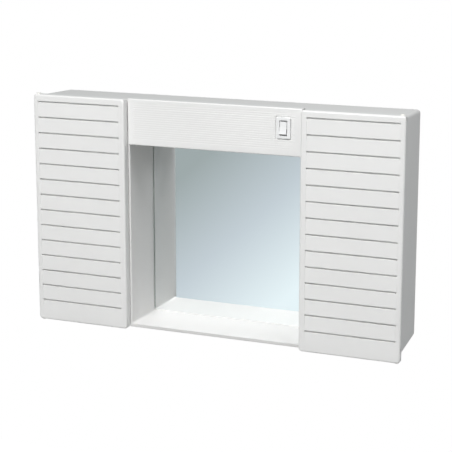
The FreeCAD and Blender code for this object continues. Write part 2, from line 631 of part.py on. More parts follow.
def mirror_pads():
    """The four foam pads that hold the mirror to the back wall."""
    half = NICHE_HALF - DRAFT - MIRROR_GAP - PAD_IN
    low = NICHE_FLOOR + PAD_IN
    high = LEDGE_TOP - PAD_IN
    pads = []
    for x in (-half, half - PAD_SIZE):
        for z in (low, high - PAD_SIZE):
            pads.append(block(x, x + PAD_SIZE, MIRROR_BACK, BACK_FACE, z, z + PAD_SIZE))
    return Part.makeCompound(pads)


# Pelmet, diffuser and lamps

def pelmet_screw_x():
    """The pelmet screws, in the middle of their bosses."""
    return NICHE_HALF - PELMET_BOSS / 2


def pelmet_screw_y():
    """The depth of the pelmet screws."""
    return CARCASS_FRONT + PELMET_BOSS_SET + PELMET_BOSS / 2


def pelmet():
    """The ribbed cover over the lamps, with a flange on top and a return below."""
    half = PELMET_HALF
    back = PELMET_FRONT + PELMET_T
    top_under = DOOR_TOP - TOP_SET_FRONT
    plate = block(-half, half, PELMET_FRONT, back, PELMET_BOTTOM, PELMET_TOP)
    flange = block(-half, half, PELMET_FRONT, CARCASS_FRONT + PELMET_FLANGE, top_under + SEAT, PELMET_TOP)
    side = NICHE_HALF - DIFFUSER_SIDE
    lower = block(-side, side, PELMET_FRONT, PELMET_FRONT + PELMET_RETURN, PELMET_BOTTOM, LEDGE_TOP)
    cover = plate.fuse([flange, lower]).removeSplitter()
    front = edges_at(cover, lambda p: abs(p.y - PELMET_FRONT) < SAME)
    cover = cover.makeFillet(PELMET_EDGE_R, front)
    # fine ribs: grooves with sloping sides
    grooves = []
    first = PELMET_TOP - RIB_MARGIN_TOP
    for i in range(RIB_COUNT):
        z = first - i * RIB_PITCH
        points = [(PELMET_FRONT - RIB_GROOVE_D, z + RIB_GROOVE_W), (PELMET_FRONT + RIB_GROOVE_D, z),
                  (PELMET_FRONT - RIB_GROOVE_D, z - RIB_GROOVE_W)]
        grooves.append(prism_x(points, -half + RIB_MARGIN_X, half - RIB_MARGIN_X))
    # the switch's bezel sits in a shallow recess, and its housing goes through the plate
    w, h = BEZEL_W / 2 + BEZEL_ROOM, BEZEL_H / 2 + BEZEL_ROOM
    grooves.append(slab(SWITCH_X - w, SWITCH_X + w, SWITCH_Z - h, SWITCH_Z + h, BEZEL_CORNER_R,
                        PELMET_FRONT - RIB_GROOVE_D, PELMET_FRONT + BEZEL_RECESS))
    w, h = HOUSING_W / 2 + HOUSING_ROOM, HOUSING_H / 2 + HOUSING_ROOM
    grooves.append(block(SWITCH_X - w, SWITCH_X + w, PELMET_FRONT - PELMET_T, back + SEAT,
                         SWITCH_Z - h, SWITCH_Z + h))
    for x in (-pelmet_screw_x(), pelmet_screw_x()):
        start = V(x, pelmet_screw_y(), PELMET_BOTTOM - PELMET_T)
        end = V(x, pelmet_screw_y(), LEDGE_TOP + SEAT)
        grooves.append(rod(SCREW_R + SCREW_HOLE_ROOM, start, end))
    return cover.cut(grooves)


def pelmet_screw():
    """A screw that goes up through the return into its boss."""
    seat = V(pelmet_screw_x(), pelmet_screw_y(), PELMET_BOTTOM)
    shaft = rod(SCREW_R, seat, seat + V(0, 0, SCREW_L))
    head = rod(SCREW_HEAD_R, seat - V(0, 0, SCREW_HEAD_H), seat)
    return head.makeFillet(SCREW_HEAD_H / 2, edges_at(head, lambda p: p.z < seat.z - SEAT)).fuse(shaft)


def diffuser():
    """The opal sheet that closes the lamp compartment towards the niche."""
    half = NICHE_HALF - DRAFT - DIFFUSER_SIDE
    front = CARCASS_FRONT + PELMET_BOSS_SET + PELMET_BOSS + DIFFUSER_SIDE
    return block(-half, half, front, BACK_FACE - SEAT, LEDGE_TOP, LEDGE_TOP + DIFFUSER_T)


def holder_screw_depth():
    """How far a lamp holder's screw goes into the niche wall."""
    return HOLDER_PAD_T + PARTITION_T / 2


def lamp_holder():
    """The right lamp holder: a flange on the niche wall and a round shell for the lamp's cap."""
    half = HOLDER_PAD / 2
    flange_x = HOLDER_SEAT_X - HOLDER_FLANGE_T
    flange = block(flange_x, HOLDER_SEAT_X, LAMP_Y - half, LAMP_Y + half, LAMP_Z - half, LAMP_Z + half)
    short = [e for e in flange.Edges if e.Length < HOLDER_FLANGE_T + SEAT]
    flange = flange.makeFillet(FITTING_CORNER_R, short)
    end_x = HOLDER_SEAT_X - HOLDER_L
    shell = rod(HOLDER_R, V(flange_x, LAMP_Y, LAMP_Z), V(end_x, LAMP_Y, LAMP_Z))
    bore = rod(HOLDER_BORE_R, V(end_x, LAMP_Y, LAMP_Z), V(end_x + HOLDER_BORE_L, LAMP_Y, LAMP_Z))
    holes = [bore]
    for start, end in lead_entries():
        holes.append(rod(LEAD_R + LEAD_ENTRY_ROOM, start, end))
    for dz in (-HOLDER_SCREWS_APART / 2, HOLDER_SCREWS_APART / 2):
        holes.append(rod(SMALL_SCREW_R + SCREW_HOLE_ROOM, V(flange_x, LAMP_Y, LAMP_Z + dz),
                         V(HOLDER_SEAT_X, LAMP_Y, LAMP_Z + dz)))
    return flange.fuse(shell).cut(holes)


def lamp_holder_screws():
    """The two screws of the right lamp holder."""
    seat_x = HOLDER_SEAT_X - HOLDER_FLANGE_T
    screws = []
    for dz in (-HOLDER_SCREWS_APART / 2, HOLDER_SCREWS_APART / 2):
        seat = V(seat_x, LAMP_Y, LAMP_Z + dz)
        end = V(HOLDER_SEAT_X + holder_screw_depth(), LAMP_Y, LAMP_Z + dz)
        head = rod(SMALL_SCREW_HEAD_R, seat - V(SMALL_SCREW_HEAD_H, 0, 0), seat)
        screws.append(head.fuse(rod(SMALL_SCREW_R, seat, end)))
    return Part.makeCompound(screws)


def cap_back():
    """Where the lamp's cap seats, on the floor of its holder."""
    return HOLDER_SEAT_X - HOLDER_L + HOLDER_BORE_L


def lamp_cap():
    """The screw cap of the right lamp: a hollow shell with its contact tip."""
    x = cap_back()
    mouth, floor = x - CAP_TIP_L - CAP_L, x - CAP_TIP_L - CAP_FILL_L
    inner_r = CAP_R - CAP_WALL
    outline = [(x, 0), (x, CAP_TIP_R), (x - CAP_TIP_L, CAP_R), (mouth, CAP_R), (mouth, inner_r),
               (floor, inner_r), (floor, 0)]
    return revolve_x(outline, LAMP_Y, LAMP_Z)


def lamp_bulb():
    """The opal bulb of the right lamp, blown hollow and open at its neck."""
    return bulb_form(0).cut(bulb_form(GLASS_T))


def bulb_form(inset):
    """The bulb's neck and sphere, drawn in by the thickness of the glass for its inside."""
    x = cap_back() - CAP_TIP_L - CAP_L
    wide = CAP_R + BULB_NECK_L / 2
    neck = Part.makeCone(CAP_R - inset, wide - inset, BULB_NECK_L, V(x, LAMP_Y, LAMP_Z), V(-1, 0, 0))
    centre = x - BULB_NECK_L - sqrt(BULB_R ** 2 - wide ** 2)
    return neck.fuse(Part.makeSphere(BULB_R - inset, V(centre, LAMP_Y, LAMP_Z))).removeSplitter()


# Switch

def rocker_pivot():
    """The rocker's tilting axis."""
    return V(SWITCH_X, PELMET_FRONT - BEZEL_T + ROCKER_PIVOT_IN, SWITCH_Z)


def switch_housing():
    """The switch's bezel and the housing behind it, with the rocker's well."""
    face = PELMET_FRONT - BEZEL_T
    bezel = slab(SWITCH_X - BEZEL_W / 2, SWITCH_X + BEZEL_W / 2,
                 SWITCH_Z - BEZEL_H / 2, SWITCH_Z + BEZEL_H / 2, BEZEL_CORNER_R,
                 face, PELMET_FRONT + BEZEL_RECESS)
    bezel = bezel.makeFillet(BEZEL_EDGE_R, edges_at(bezel, lambda p: abs(p.y - face) < SAME))
    box = block(SWITCH_X - HOUSING_W / 2, SWITCH_X + HOUSING_W / 2, PELMET_FRONT, PELMET_FRONT + HOUSING_L,
                SWITCH_Z - HOUSING_H / 2, SWITCH_Z + HOUSING_H / 2)
    w, h = ROCKER_W / 2 + ROCKER_CLEAR, ROCKER_R + ROCKER_END_CLEAR
    well = block(SWITCH_X - w, SWITCH_X + w, face - BEZEL_T, PELMET_FRONT + HOUSING_L - HOUSING_FLOOR,
                 SWITCH_Z - h, SWITCH_Z + h)
    reach = V(ROCKER_W / 2 + TRUNNION_L + ROCKER_CLEAR, 0, 0)
    axle = rod(TRUNNION_R + PIN_RUN, rocker_pivot() - reach, rocker_pivot() + reach)
    return bezel.fuse(box).removeSplitter().cut([well, axle])


def switch_rocker():
    """The rocker, tilted so that its lower end stands out."""
    p = rocker_pivot()
    end_z = sqrt(ROCKER_R ** 2 - ROCKER_END_OUT ** 2)
    back_z = sqrt(ROCKER_R ** 2 - ROCKER_BACK ** 2)
    x0 = p.x - ROCKER_W / 2

    def at(y, z):
        return V(x0, p.y + y, p.z + z)

    outline = Part.Wire([
        Part.makeLine(at(-ROCKER_END_OUT, -end_z), at(-ROCKER_DIP_OUT, 0)),
        Part.makeLine(at(-ROCKER_DIP_OUT, 0), at(-ROCKER_END_OUT, end_z)),
        Part.Arc(at(-ROCKER_END_OUT, end_z), at(0, ROCKER_R), at(ROCKER_BACK, back_z)).toShape(),
        Part.makeLine(at(ROCKER_BACK, back_z), at(ROCKER_BACK, -back_z)),
        Part.Arc(at(ROCKER_BACK, -back_z), at(0, -ROCKER_R), at(-ROCKER_END_OUT, -end_z)).toShape(),
    ])
    body = Part.Face(outline).extrude(V(ROCKER_W, 0, 0))
    tongue = block(p.x - ROCKER_TONGUE_W / 2, p.x + ROCKER_TONGUE_W / 2, p.y, p.y + ROCKER_TONGUE_L,
                   p.z - ROCKER_TONGUE_T / 2, p.z + ROCKER_TONGUE_T / 2)
    reach = V(ROCKER_W / 2 + TRUNNION_L, 0, 0)
    rocker = body.fuse([tongue, rod(TRUNNION_R, p - reach, p + reach)]).removeSplitter()
    return rocker.rotate(p, V(1, 0, 0), -ROCKER_TILT)


def tab_z(i):
    """The height of one blade terminal."""
    return SWITCH_Z + (i - (TAB_COUNT - 1) / 2) * TAB_PITCH


def switch_terminals():
    """The blade terminals at the back of the switch."""
    y = PELMET_FRONT + HOUSING_L
    tabs = []
    for i in range(TAB_COUNT):
        z = tab_z(i)
        tabs.append(block(SWITCH_X - TAB_W / 2, SWITCH_X + TAB_W / 2, y, y + TAB_L,
                          z - TAB_T / 2, z + TAB_T / 2))
    return Part.makeCompound(tabs)


# Wiring inlet

def terminal_place(i):
    """The middle of one way of the terminal block."""
    return TERMINAL_X + (i - (TERMINAL_WAYS - 1) / 2) * TERMINAL_PITCH


def terminal_block():
    """The terminal block on the back wall."""
    low, high = TERMINAL_Z - TERMINAL_H / 2, TERMINAL_Z + TERMINAL_H / 2
    front = BACK_FACE - TERMINAL_T
    body = block(TERMINAL_X - TERMINAL_W / 2, TERMINAL_X + TERMINAL_W / 2, front, BACK_FACE, low, high)
    holes = []
    for i in range(TERMINAL_WAYS):
        x, y = terminal_place(i), BACK_FACE - TERMINAL_T / 2
        holes.append(rod(TERMINAL_BORE_R, V(x, y, low), V(x, y, high)))
        clamp = V(x, front, terminal_screw_z())
        holes.append(rod(TERMINAL_SCREW_R + SCREW_FIT, clamp, V(x, y, terminal_screw_z())))
    return body.cut(holes)


def terminal_screw_z():
    """The height of the clamp screws."""
    return TERMINAL_Z + TERMINAL_H / 2 - TERMINAL_SCREW_IN


def terminal_screws():
    """The clamp screws of the terminal block."""
    screws = []
    for i in range(TERMINAL_WAYS):
        start = V(terminal_place(i), BACK_FACE - TERMINAL_T, terminal_screw_z())
        screws.append(rod(TERMINAL_SCREW_R, start, start + V(0, TERMINAL_T / 2 - TERMINAL_BORE_R, 0)))
    return Part.makeCompound(screws)


def cable_grommet():
    """The rubber grommet of the cable inlet, flanged inside the back wall."""
    inner, outer = V(INLET_X, BACK_FACE - GROMMET_FLANGE_T, INLET_Z), V(INLET_X, 0, INLET_Z)
    flange = rod(GROMMET_FLANGE_R, inner, V(INLET_X, BACK_FACE, INLET_Z))
    sleeve = rod(GROMMET_BORE_R + GROMMET_WALL - SCREW_FIT, inner, outer)
    return flange.fuse(sleeve).removeSplitter().cut(rod(GROMMET_BORE_R, inner, outer))


# Leads in the lamp compartment

def lead_entry(dz, side):
    """The end of a lead in the right lamp holder, and the same line out beyond the holder's skin."""
    x = HOLDER_SEAT_X - HOLDER_FLANGE_T - LEAD_ENTRY_X
    skin = sqrt(HOLDER_R ** 2 - dz ** 2)
    end = V(x, LAMP_Y + side * (skin - LEAD_ENTRY_D), LAMP_Z + dz)
    return end, V(x, LAMP_Y + side * (HOLDER_R + LEAD_ENTRY_D), LAMP_Z + dz)


def lead_entries():
    """The four lead entries of a lamp holder: three behind and one in front."""
    behind = [lead_entry(dz, 1) for dz in (-LIVE_LINK_DOWN, -NEUTRAL_LINK_DOWN, NEUTRAL_FEED_UP)]
    return behind + [lead_entry(-SWITCH_FEED_DOWN, -1)]


def lead(points):
    """A round lead along straight runs that are joined by tangent arcs."""
    edges = []
    start = points[0]
    for before, corner, after in zip(points, points[1:], points[2:]):
        towards = (before - corner).normalize()
        onwards = (after - corner).normalize()
        half_turn = (pi - towards.getAngle(onwards)) / 2
        reach = LEAD_BEND * tan(half_turn)
        middle = (towards + onwards).normalize() * (LEAD_BEND / cos(half_turn) - LEAD_BEND)
        first, last = corner + towards * reach, corner + onwards * reach
        edges += [Part.makeLine(start, first), Part.Arc(first, corner + middle, last).toShape()]
        start = last
    edges.append(Part.makeLine(start, points[-1]))
    section = Part.Wire(Part.makeCircle(LEAD_R, points[0], points[1] - points[0]))
    return Part.Wire(edges).makePipeShell([section], True, False)


def link_lead(down):
    """A lead along the back wall, from one lamp holder to the other."""
    end = lead_entry(-down, 1)[0]
    corner = V(end.x, BACK_FACE - LEAD_OFF_WALL, end.z)
    return lead([end, corner, V(-corner.x, corner.y, corner.z), V(-end.x, end.y, end.z)])


def block_entry(i):
    """Where a lead ends inside one way of the terminal block."""
    return V(terminal_place(i), BACK_FACE - TERMINAL_T / 2, TERMINAL_Z - TERMINAL_H / 2 + LEAD_IN_BLOCK)


def neutral_feed_lead():
    """The lead from the terminal block to the left lamp holder."""
    start = block_entry(0)
    end = lead_entry(NEUTRAL_FEED_UP, 1)[0]
    return lead([start, V(start.x, start.y, end.z), V(-end.x, start.y, end.z), V(-end.x, end.y, end.z)])


def tab_edge(i, side):
    """The middle of one blade terminal's side edge."""
    return V(SWITCH_X + side * TAB_W / 2, PELMET_FRONT + HOUSING_L + TAB_L / 2, tab_z(i))


def live_feed_lead():
    """The lead from the terminal block to the switch, in front of the right lamp."""
    start = block_entry(TERMINAL_WAYS - 1)
    end = tab_edge(TAB_COUNT - 1, -1)
    low = start.z - LEAD_IN_BLOCK - LEAD_LOOP_DOWN
    corners = [V(start.x, start.y, low), V(start.x, end.y, low), V(LEAD_RISE_X, end.y, end.z)]
    return lead([start, *corners, end])


def switched_lead():
    """The lead from the switch to the right lamp holder."""
    start = tab_edge(0, 1)
    end = lead_entry(-SWITCH_FEED_DOWN, -1)[0]
    return lead([start, V(end.x, start.y, start.z), end])


# Shelves

def shelf(up):
    """A loose shelf of the right compartment, with a lip along its front."""
    y0, y1 = CARCASS_FRONT + SHELF_FRONT_SET, BACK_FACE - SHELF_BACK_GAP
    z = DOOR_BOTTOM + up
    x0 = PARTITION_OUT + DRAFT + SHELF_SIDE

    def outer(y):
        return carcass_width(y) - CARCASS_WALL - SHELF_SIDE

    plate = prism_z([(x0, y0), (outer(y0), y0), (outer(y1), y1), (x0, y1)], z, z + SHELF_T)
    lip_y = y0 + SHELF_LIP_T
    lip = prism_z([(x0, y0), (outer(y0), y0), (outer(lip_y), lip_y), (x0, lip_y)], z, z + SHELF_LIP_H)
    return plate.fuse(lip).removeSplitter()


def main():
    """Build every piece and write it."""
    os.makedirs("parts", exist_ok=True)
    save("carcass", carcass())
    save("mirror", mirror_plate())
    save("mirror_pads", mirror_pads())
    save("pelmet", pelmet())
    save("pelmet_screws", both_sides(pelmet_screw()))
    save("diffuser", diffuser())
    save("lamp_holder_screws", both_sides(lamp_holder_screws()))
    save("terminal_block", terminal_block())
    save("terminal_screws", terminal_screws())
    save("cable_grommet", cable_grommet())
    save("switch_housing", switch_housing())
    save("switch_rocker", switch_rocker())
    save("switch_terminals", switch_terminals())
    save("live_feed_lead", live_feed_lead())
    save("neutral_feed_lead", neutral_feed_lead())
    save("switched_lead", switched_lead())
    save("live_link_lead", link_lead(LIVE_LINK_DOWN))
    save("neutral_link_lead", link_lead(NEUTRAL_LINK_DOWN))
    lower_end = LOWER_EAR_BOTTOM + EAR_T
    pairs = {
        "door": right_door(),
        "upper_hinge_pin": hinge_pin(DOOR_TOP, DOOR_TOP + UPPER_PIN_HEAD_H, UPPER_EAR_TOP - EAR_T),
        "lower_hinge_pin": hinge_pin(DOOR_BOTTOM, DOOR_BOTTOM - LOWER_PIN_HEAD_H, lower_end),
        "catch_housing": catch_housing(),
        "catch_magnet": catch_magnet(),
        "strike_plate": strike_plate(),
        "strike_screw": strike_screw(),
        "lower_shelf": shelf(LOWER_SHELF_UP),
        "upper_shelf": shelf(UPPER_SHELF_UP),
        "lamp_holder": lamp_holder(),
        "lamp_cap": lamp_cap(),
        "lamp_bulb": lamp_bulb(),
    }
    for name, shape in pairs.items():
        save(f"right_{name}", shape)
        save(f"left_{name}", mirrored(shape))


main()
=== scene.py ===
# %% [markdown]
# # A bathroom mirror cabinet
#
# The object is a wall cabinet moulded in white plastic: a louvred door on each side, an open niche with a
# mirror between them, and a ribbed pelmet with a rocker switch over the niche. Its solids come from the
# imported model, at their real size, and this lesson gives them their finishes, models the small hardware
# that the solids leave plain, and lights and frames the whole thing.

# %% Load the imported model
import json
import math
import bpy
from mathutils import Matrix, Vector

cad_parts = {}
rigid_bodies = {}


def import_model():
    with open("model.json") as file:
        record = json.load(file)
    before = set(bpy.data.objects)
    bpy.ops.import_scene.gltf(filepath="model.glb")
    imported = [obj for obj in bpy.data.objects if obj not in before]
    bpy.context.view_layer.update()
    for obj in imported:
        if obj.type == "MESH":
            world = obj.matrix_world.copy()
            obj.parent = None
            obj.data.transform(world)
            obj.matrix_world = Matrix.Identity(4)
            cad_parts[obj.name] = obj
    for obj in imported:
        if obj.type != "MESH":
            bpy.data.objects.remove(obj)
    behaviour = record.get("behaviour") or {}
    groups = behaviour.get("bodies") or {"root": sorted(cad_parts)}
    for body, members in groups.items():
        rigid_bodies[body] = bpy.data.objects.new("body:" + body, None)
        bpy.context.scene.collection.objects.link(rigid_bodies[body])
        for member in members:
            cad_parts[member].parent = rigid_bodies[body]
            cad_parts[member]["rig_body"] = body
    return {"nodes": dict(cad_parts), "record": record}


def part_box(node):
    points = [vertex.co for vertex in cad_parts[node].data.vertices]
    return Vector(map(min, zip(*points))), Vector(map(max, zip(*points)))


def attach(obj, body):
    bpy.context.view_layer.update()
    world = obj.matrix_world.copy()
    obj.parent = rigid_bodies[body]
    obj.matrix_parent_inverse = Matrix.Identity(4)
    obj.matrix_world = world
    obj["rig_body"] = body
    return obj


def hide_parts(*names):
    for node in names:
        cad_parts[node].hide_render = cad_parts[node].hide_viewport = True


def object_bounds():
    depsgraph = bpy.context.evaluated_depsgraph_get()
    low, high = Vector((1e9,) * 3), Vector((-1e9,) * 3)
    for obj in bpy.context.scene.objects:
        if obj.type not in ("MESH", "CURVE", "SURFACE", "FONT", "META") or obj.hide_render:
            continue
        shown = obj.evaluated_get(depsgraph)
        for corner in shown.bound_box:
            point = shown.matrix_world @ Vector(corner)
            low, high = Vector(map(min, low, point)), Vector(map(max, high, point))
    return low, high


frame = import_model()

cad_low, cad_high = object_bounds()
MM = 0.001
print("CAD box in mm:", [round((b - a) / MM, 1) for a, b in zip(cad_low, cad_high)])

# %% [markdown]
# ## Helpers for the finishes
#
# Colours are written as the sRGB hex values that a colour picker shows, and Blender mixes light in linear
# values, so one function converts them. A second one adds a shader node: its settings are properties of the
# node, and its inputs are either plain values or sockets of other nodes. A third one starts a finish: a
# material whose patterns are placed by Object coordinates, which here are the cabinet's own metres, because
# every piece sits at the origin.

# %% Colour, node and finish helpers
def linear(hex_colour):
    """An sRGB hex colour as linear red, green, blue and alpha."""
    shares = [int(hex_colour[i:i + 2], 16) / 255 for i in (1, 3, 5)]
    return tuple(c / 12.92 if c <= 0.04045 else ((c + 0.055) / 1.055) ** 2.4 for c in shares) + (1.0,)


def add(tree, kind, inputs=None, **settings):
    """Add a shader node with its settings, values and links."""
    node = tree.nodes.new(kind)
    for name, value in settings.items():
        setattr(node, name, value)
    for name, value in (inputs or {}).items():
        if isinstance(value, bpy.types.NodeSocket):
            tree.links.new(value, node.inputs[name])
        else:
            node.inputs[name].default_value = value
    return node


def per_metre(size_mm):
    """The scale that makes a texture's features this large."""
    return 1 / (size_mm * MM)


def start_finish(name, **constants):
    """A new material with its surface shader, its node tree and the place that patterns start from."""
    material = bpy.data.materials.new(name)
    material.use_nodes = True
    tree = material.node_tree
    surface = tree.nodes["Principled BSDF"]
    for socket, value in constants.items():
        surface.inputs[socket.replace("_", " ")].default_value = value
    place = add(tree, "ShaderNodeTexCoord").outputs["Object"]
    return material, tree, surface, place


print("White paper is", [round(c, 3) for c in linear("#F4F4F2")[:3]], "in linear light")

# %% [markdown]
# ## Moulded white polystyrene
#
# The body, doors, pelmet and shelves are injection-moulded polystyrene. The mould is lightly spark-eroded,
# so the skin is satin: it has a fine even grain, and the walls are a little wavy where the plastic shrank
# behind ribs. White polystyrene is never one flat colour either: it clouds faintly over a hand's width.
#
# A picture of such a skin could be wrapped round each piece. Noise in the cabinet's own metres needs no
# unwrapping and runs unbroken from one wall to the next, so all these patterns come from noise, at the sizes
# that they have on the real moulding. The grain is drawn about three times as coarse as the real one, which
# would be lost between the pixels.

# %% The white mouldings
CLOUD_MM = 90.0
RIPPLE_MM = 38.0
RIPPLE_DEPTH_MM = 0.25
RIPPLE_STRENGTH = 0.25
GRAIN_MM = 1.1
GRAIN_DEPTH_MM = 0.05
GRAIN_STRENGTH = 0.10
POLISH_MM = 14.0
POLISH_SPREAD = 0.05


def moulded_polystyrene(name, colour, cloud, roughness):
    """Satin white plastic: cloudy colour, uneven polish, shallow ripple and fine grain."""
    material, tree, surface, place = start_finish(name, IOR=1.59)
    clouds = add(tree, "ShaderNodeTexNoise", {"Vector": place, "Scale": per_metre(CLOUD_MM), "Detail": 3.0})
    tint = add(tree, "ShaderNodeMix", {0: clouds.outputs["Fac"], 6: linear(colour), 7: linear(cloud)},
               data_type="RGBA")
    polish = add(tree, "ShaderNodeTexNoise", {"Vector": place, "Scale": per_metre(POLISH_MM), "Detail": 2.0})
    rough = add(tree, "ShaderNodeMapRange",
                {"Value": polish.outputs["Fac"],
                 "To Min": roughness - POLISH_SPREAD, "To Max": roughness + POLISH_SPREAD})
    ripple = add(tree, "ShaderNodeTexNoise", {"Vector": place, "Scale": per_metre(RIPPLE_MM), "Detail": 1.0})
    wavy = add(tree, "ShaderNodeBump",
               {"Height": ripple.outputs["Fac"], "Strength": RIPPLE_STRENGTH,
                "Distance": RIPPLE_DEPTH_MM * MM})
    grain = add(tree, "ShaderNodeTexNoise", {"Vector": place, "Scale": per_metre(GRAIN_MM), "Detail": 2.0})
    skin = add(tree, "ShaderNodeBump",
               {"Height": grain.outputs["Fac"], "Normal": wavy.outputs["Normal"],
                "Strength": GRAIN_STRENGTH, "Distance": GRAIN_DEPTH_MM * MM})
    tree.links.new(tint.outputs[2], surface.inputs["Base Color"])
    tree.links.new(rough.outputs["Result"], surface.inputs["Roughness"])
    tree.links.new(skin.outputs["Normal"], surface.inputs["Normal"])
    return material


BODY_WHITE = moulded_polystyrene("moulded_polystyrene_body", "#EBEAE9", "#E5E4E3", roughness=0.42)
FACE_WHITE = moulded_polystyrene("moulded_polystyrene_face", "#EDEDEC", "#E7E7E6", roughness=0.36)
print("Made", BODY_WHITE.name, "and", FACE_WHITE.name)

# %% [markdown]
# ## Silvered float glass
#
# A mirror is float glass with silver on its back. From the front the silver is all that shows, with the
# faint green of the glass over it. Clear glass over a sheet of metal would show the same, but light would
# have to go through the glass twice, which makes a grainy render. So the finish is a metal with almost no
# roughness. The ground bevel round it has no silver behind it and shows the green of the bare glass. The
# bevel is told from the face by its depth: it is whatever lies behind the mirror's front plane.

# %% The mirror
MIRROR_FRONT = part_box("mirror")[0].y
SILVER_DEPTH_MM = 0.02
HAZE_MM = 55.0
HAZE_ROUGHNESS = (0.005, 0.03)


def silvered_glass(name):
    """A silvered face with a trace of haze, and bare green glass round it."""
    material, tree, surface, place = start_finish(name, IOR=1.52)
    depth = add(tree, "ShaderNodeSeparateXYZ", {"Vector": place})
    silvered = add(tree, "ShaderNodeMath", {0: depth.outputs["Y"], 1: MIRROR_FRONT + SILVER_DEPTH_MM * MM},
                   operation="LESS_THAN")
    tint = add(tree, "ShaderNodeMix",
               {0: silvered.outputs[0], 6: linear("#8FB3A4"), 7: linear("#F7F9F9")}, data_type="RGBA")
    haze = add(tree, "ShaderNodeTexNoise", {"Vector": place, "Scale": per_metre(HAZE_MM), "Detail": 4.0})
    rough = add(tree, "ShaderNodeMapRange", {"Value": haze.outputs["Fac"], "To Min": HAZE_ROUGHNESS[0],
                                             "To Max": HAZE_ROUGHNESS[1]})
    tree.links.new(tint.outputs[2], surface.inputs["Base Color"])
    tree.links.new(silvered.outputs[0], surface.inputs["Metallic"])
    tree.links.new(rough.outputs["Result"], surface.inputs["Roughness"])
    return material


MIRROR_GLASS = silvered_glass("silvered_float_glass")
print("The silvered face lies", round(-MIRROR_FRONT / MM, 1), "mm in front of the wall")

# %% [markdown]
# ## Polished and plain small plastics
#
# The switch is polished ABS, the hinge pins are turned from white acetal, and the fittings inside are
# moulded urea. The grommet is rubber, the pads are foam tape, the magnets are pressed ferrite, and the leads
# are covered in PVC. To the eye, the ABS has sharp highlights, the acetal and the PVC a soft shine, the urea
# is a warm dull white, and the rubber, foam and ferrite hardly shine at all. Each could have a finish of its
# own, but they differ in gloss and warmth more than in pattern. So one function makes them all: a slightly
# uneven colour and polish over a fine skin.

# %% The small plastic pieces
MOTTLE_MM = 12.0
MOTTLE_SPREAD = 0.15
SKIN_DEPTH_MM = 0.04


def small_plastic(name, colour, shade, roughness, ior, grain_mm, relief):
    """A small moulding: mottled colour, uneven polish and a skin of the given grain."""
    material, tree, surface, place = start_finish(name, IOR=ior)
    mottle = add(tree, "ShaderNodeTexNoise", {"Vector": place, "Scale": per_metre(MOTTLE_MM), "Detail": 3.0})
    tint = add(tree, "ShaderNodeMix", {0: mottle.outputs["Fac"], 6: linear(colour), 7: linear(shade)},
               data_type="RGBA")
    rough = add(tree, "ShaderNodeMapRange",
                {"Value": mottle.outputs["Fac"],
                 "To Min": roughness * (1 - MOTTLE_SPREAD), "To Max": roughness * (1 + MOTTLE_SPREAD)})
    grain = add(tree, "ShaderNodeTexNoise", {"Vector": place, "Scale": per_metre(grain_mm), "Detail": 2.0})
    skin = add(tree, "ShaderNodeBump",
               {"Height": grain.outputs["Fac"], "Strength": relief, "Distance": SKIN_DEPTH_MM * MM})
    tree.links.new(tint.outputs[2], surface.inputs["Base Color"])
    tree.links.new(rough.outputs["Result"], surface.inputs["Roughness"])
    tree.links.new(skin.outputs["Normal"], surface.inputs["Normal"])
    return material


# After the two colours come the roughness, the IOR, the grain in mm and the relief.
SWITCH_WHITE = small_plastic("polished_abs", "#F1F2F2", "#EBECEC", 0.16, 1.54, 1.6, 0.05)
PIN_WHITE = small_plastic("turned_acetal", "#F3F3EF", "#ECECE6", 0.28, 1.48, 0.6, 0.12)
FITTING_WHITE = small_plastic("moulded_urea", "#E9E6DC", "#E0DCCF", 0.40, 1.54, 0.8, 0.20)
GROMMET_BLACK = small_plastic("epdm_rubber", "#242526", "#2E2F30", 0.75, 1.50, 0.5, 0.45)
FOAM_WHITE = small_plastic("foam_tape", "#E4E2DA", "#CFCCC2", 0.90, 1.40, 0.7, 0.90)
MAGNET_BLACK = small_plastic("pressed_ferrite", "#2B2A2A", "#3A3837", 0.70, 1.50, 0.4, 0.60)
LEAD_BROWN = small_plastic("brown_pvc_insulation", "#5A3A28", "#4E3020", 0.38, 1.54, 0.6, 0.10)
LEAD_BLUE = small_plastic("blue_pvc_insulation", "#2F5FA8", "#27518F", 0.38, 1.54, 0.6, 0.10)
print("Made the switch, pin, fitting, grommet, foam, magnet and lead finishes")

# %% [markdown]
# ## Opal sheet and opal glass
#
# The diffuser is opal acrylic and the bulbs are opal-coated glass. Light goes a little way into both and
# comes out again, which is subsurface scattering: it softens the shading and gives the white its depth.
# Plain transmission would let the shapes behind show through, which opal hides.

# %% The light-diffusing pieces
MILK_MM = 25.0
WAVE_DEPTH_MM = 0.1
WAVE_STRENGTH = 0.15


def opal(name, colour, cloud, roughness, ior, depth_mm, wave_mm):
    """A milky material that light soaks into, with a gently uneven surface."""
    material, tree, surface, place = start_finish(
        name, IOR=ior, Roughness=roughness, Subsurface_Weight=0.5,
        Subsurface_Radius=(1.0, 0.9, 0.8), Subsurface_Scale=depth_mm * MM)
    milk = add(tree, "ShaderNodeTexNoise", {"Vector": place, "Scale": per_metre(MILK_MM), "Detail": 2.0})
    tint = add(tree, "ShaderNodeMix", {0: milk.outputs["Fac"], 6: linear(colour), 7: linear(cloud)},
               data_type="RGBA")
    wave = add(tree, "ShaderNodeTexNoise", {"Vector": place, "Scale": per_metre(wave_mm), "Detail": 1.0})
    skin = add(tree, "ShaderNodeBump",
               {"Height": wave.outputs["Fac"], "Strength": WAVE_STRENGTH, "Distance": WAVE_DEPTH_MM * MM})
    tree.links.new(tint.outputs[2], surface.inputs["Base Color"])
    tree.links.new(skin.outputs["Normal"], surface.inputs["Normal"])
    return material


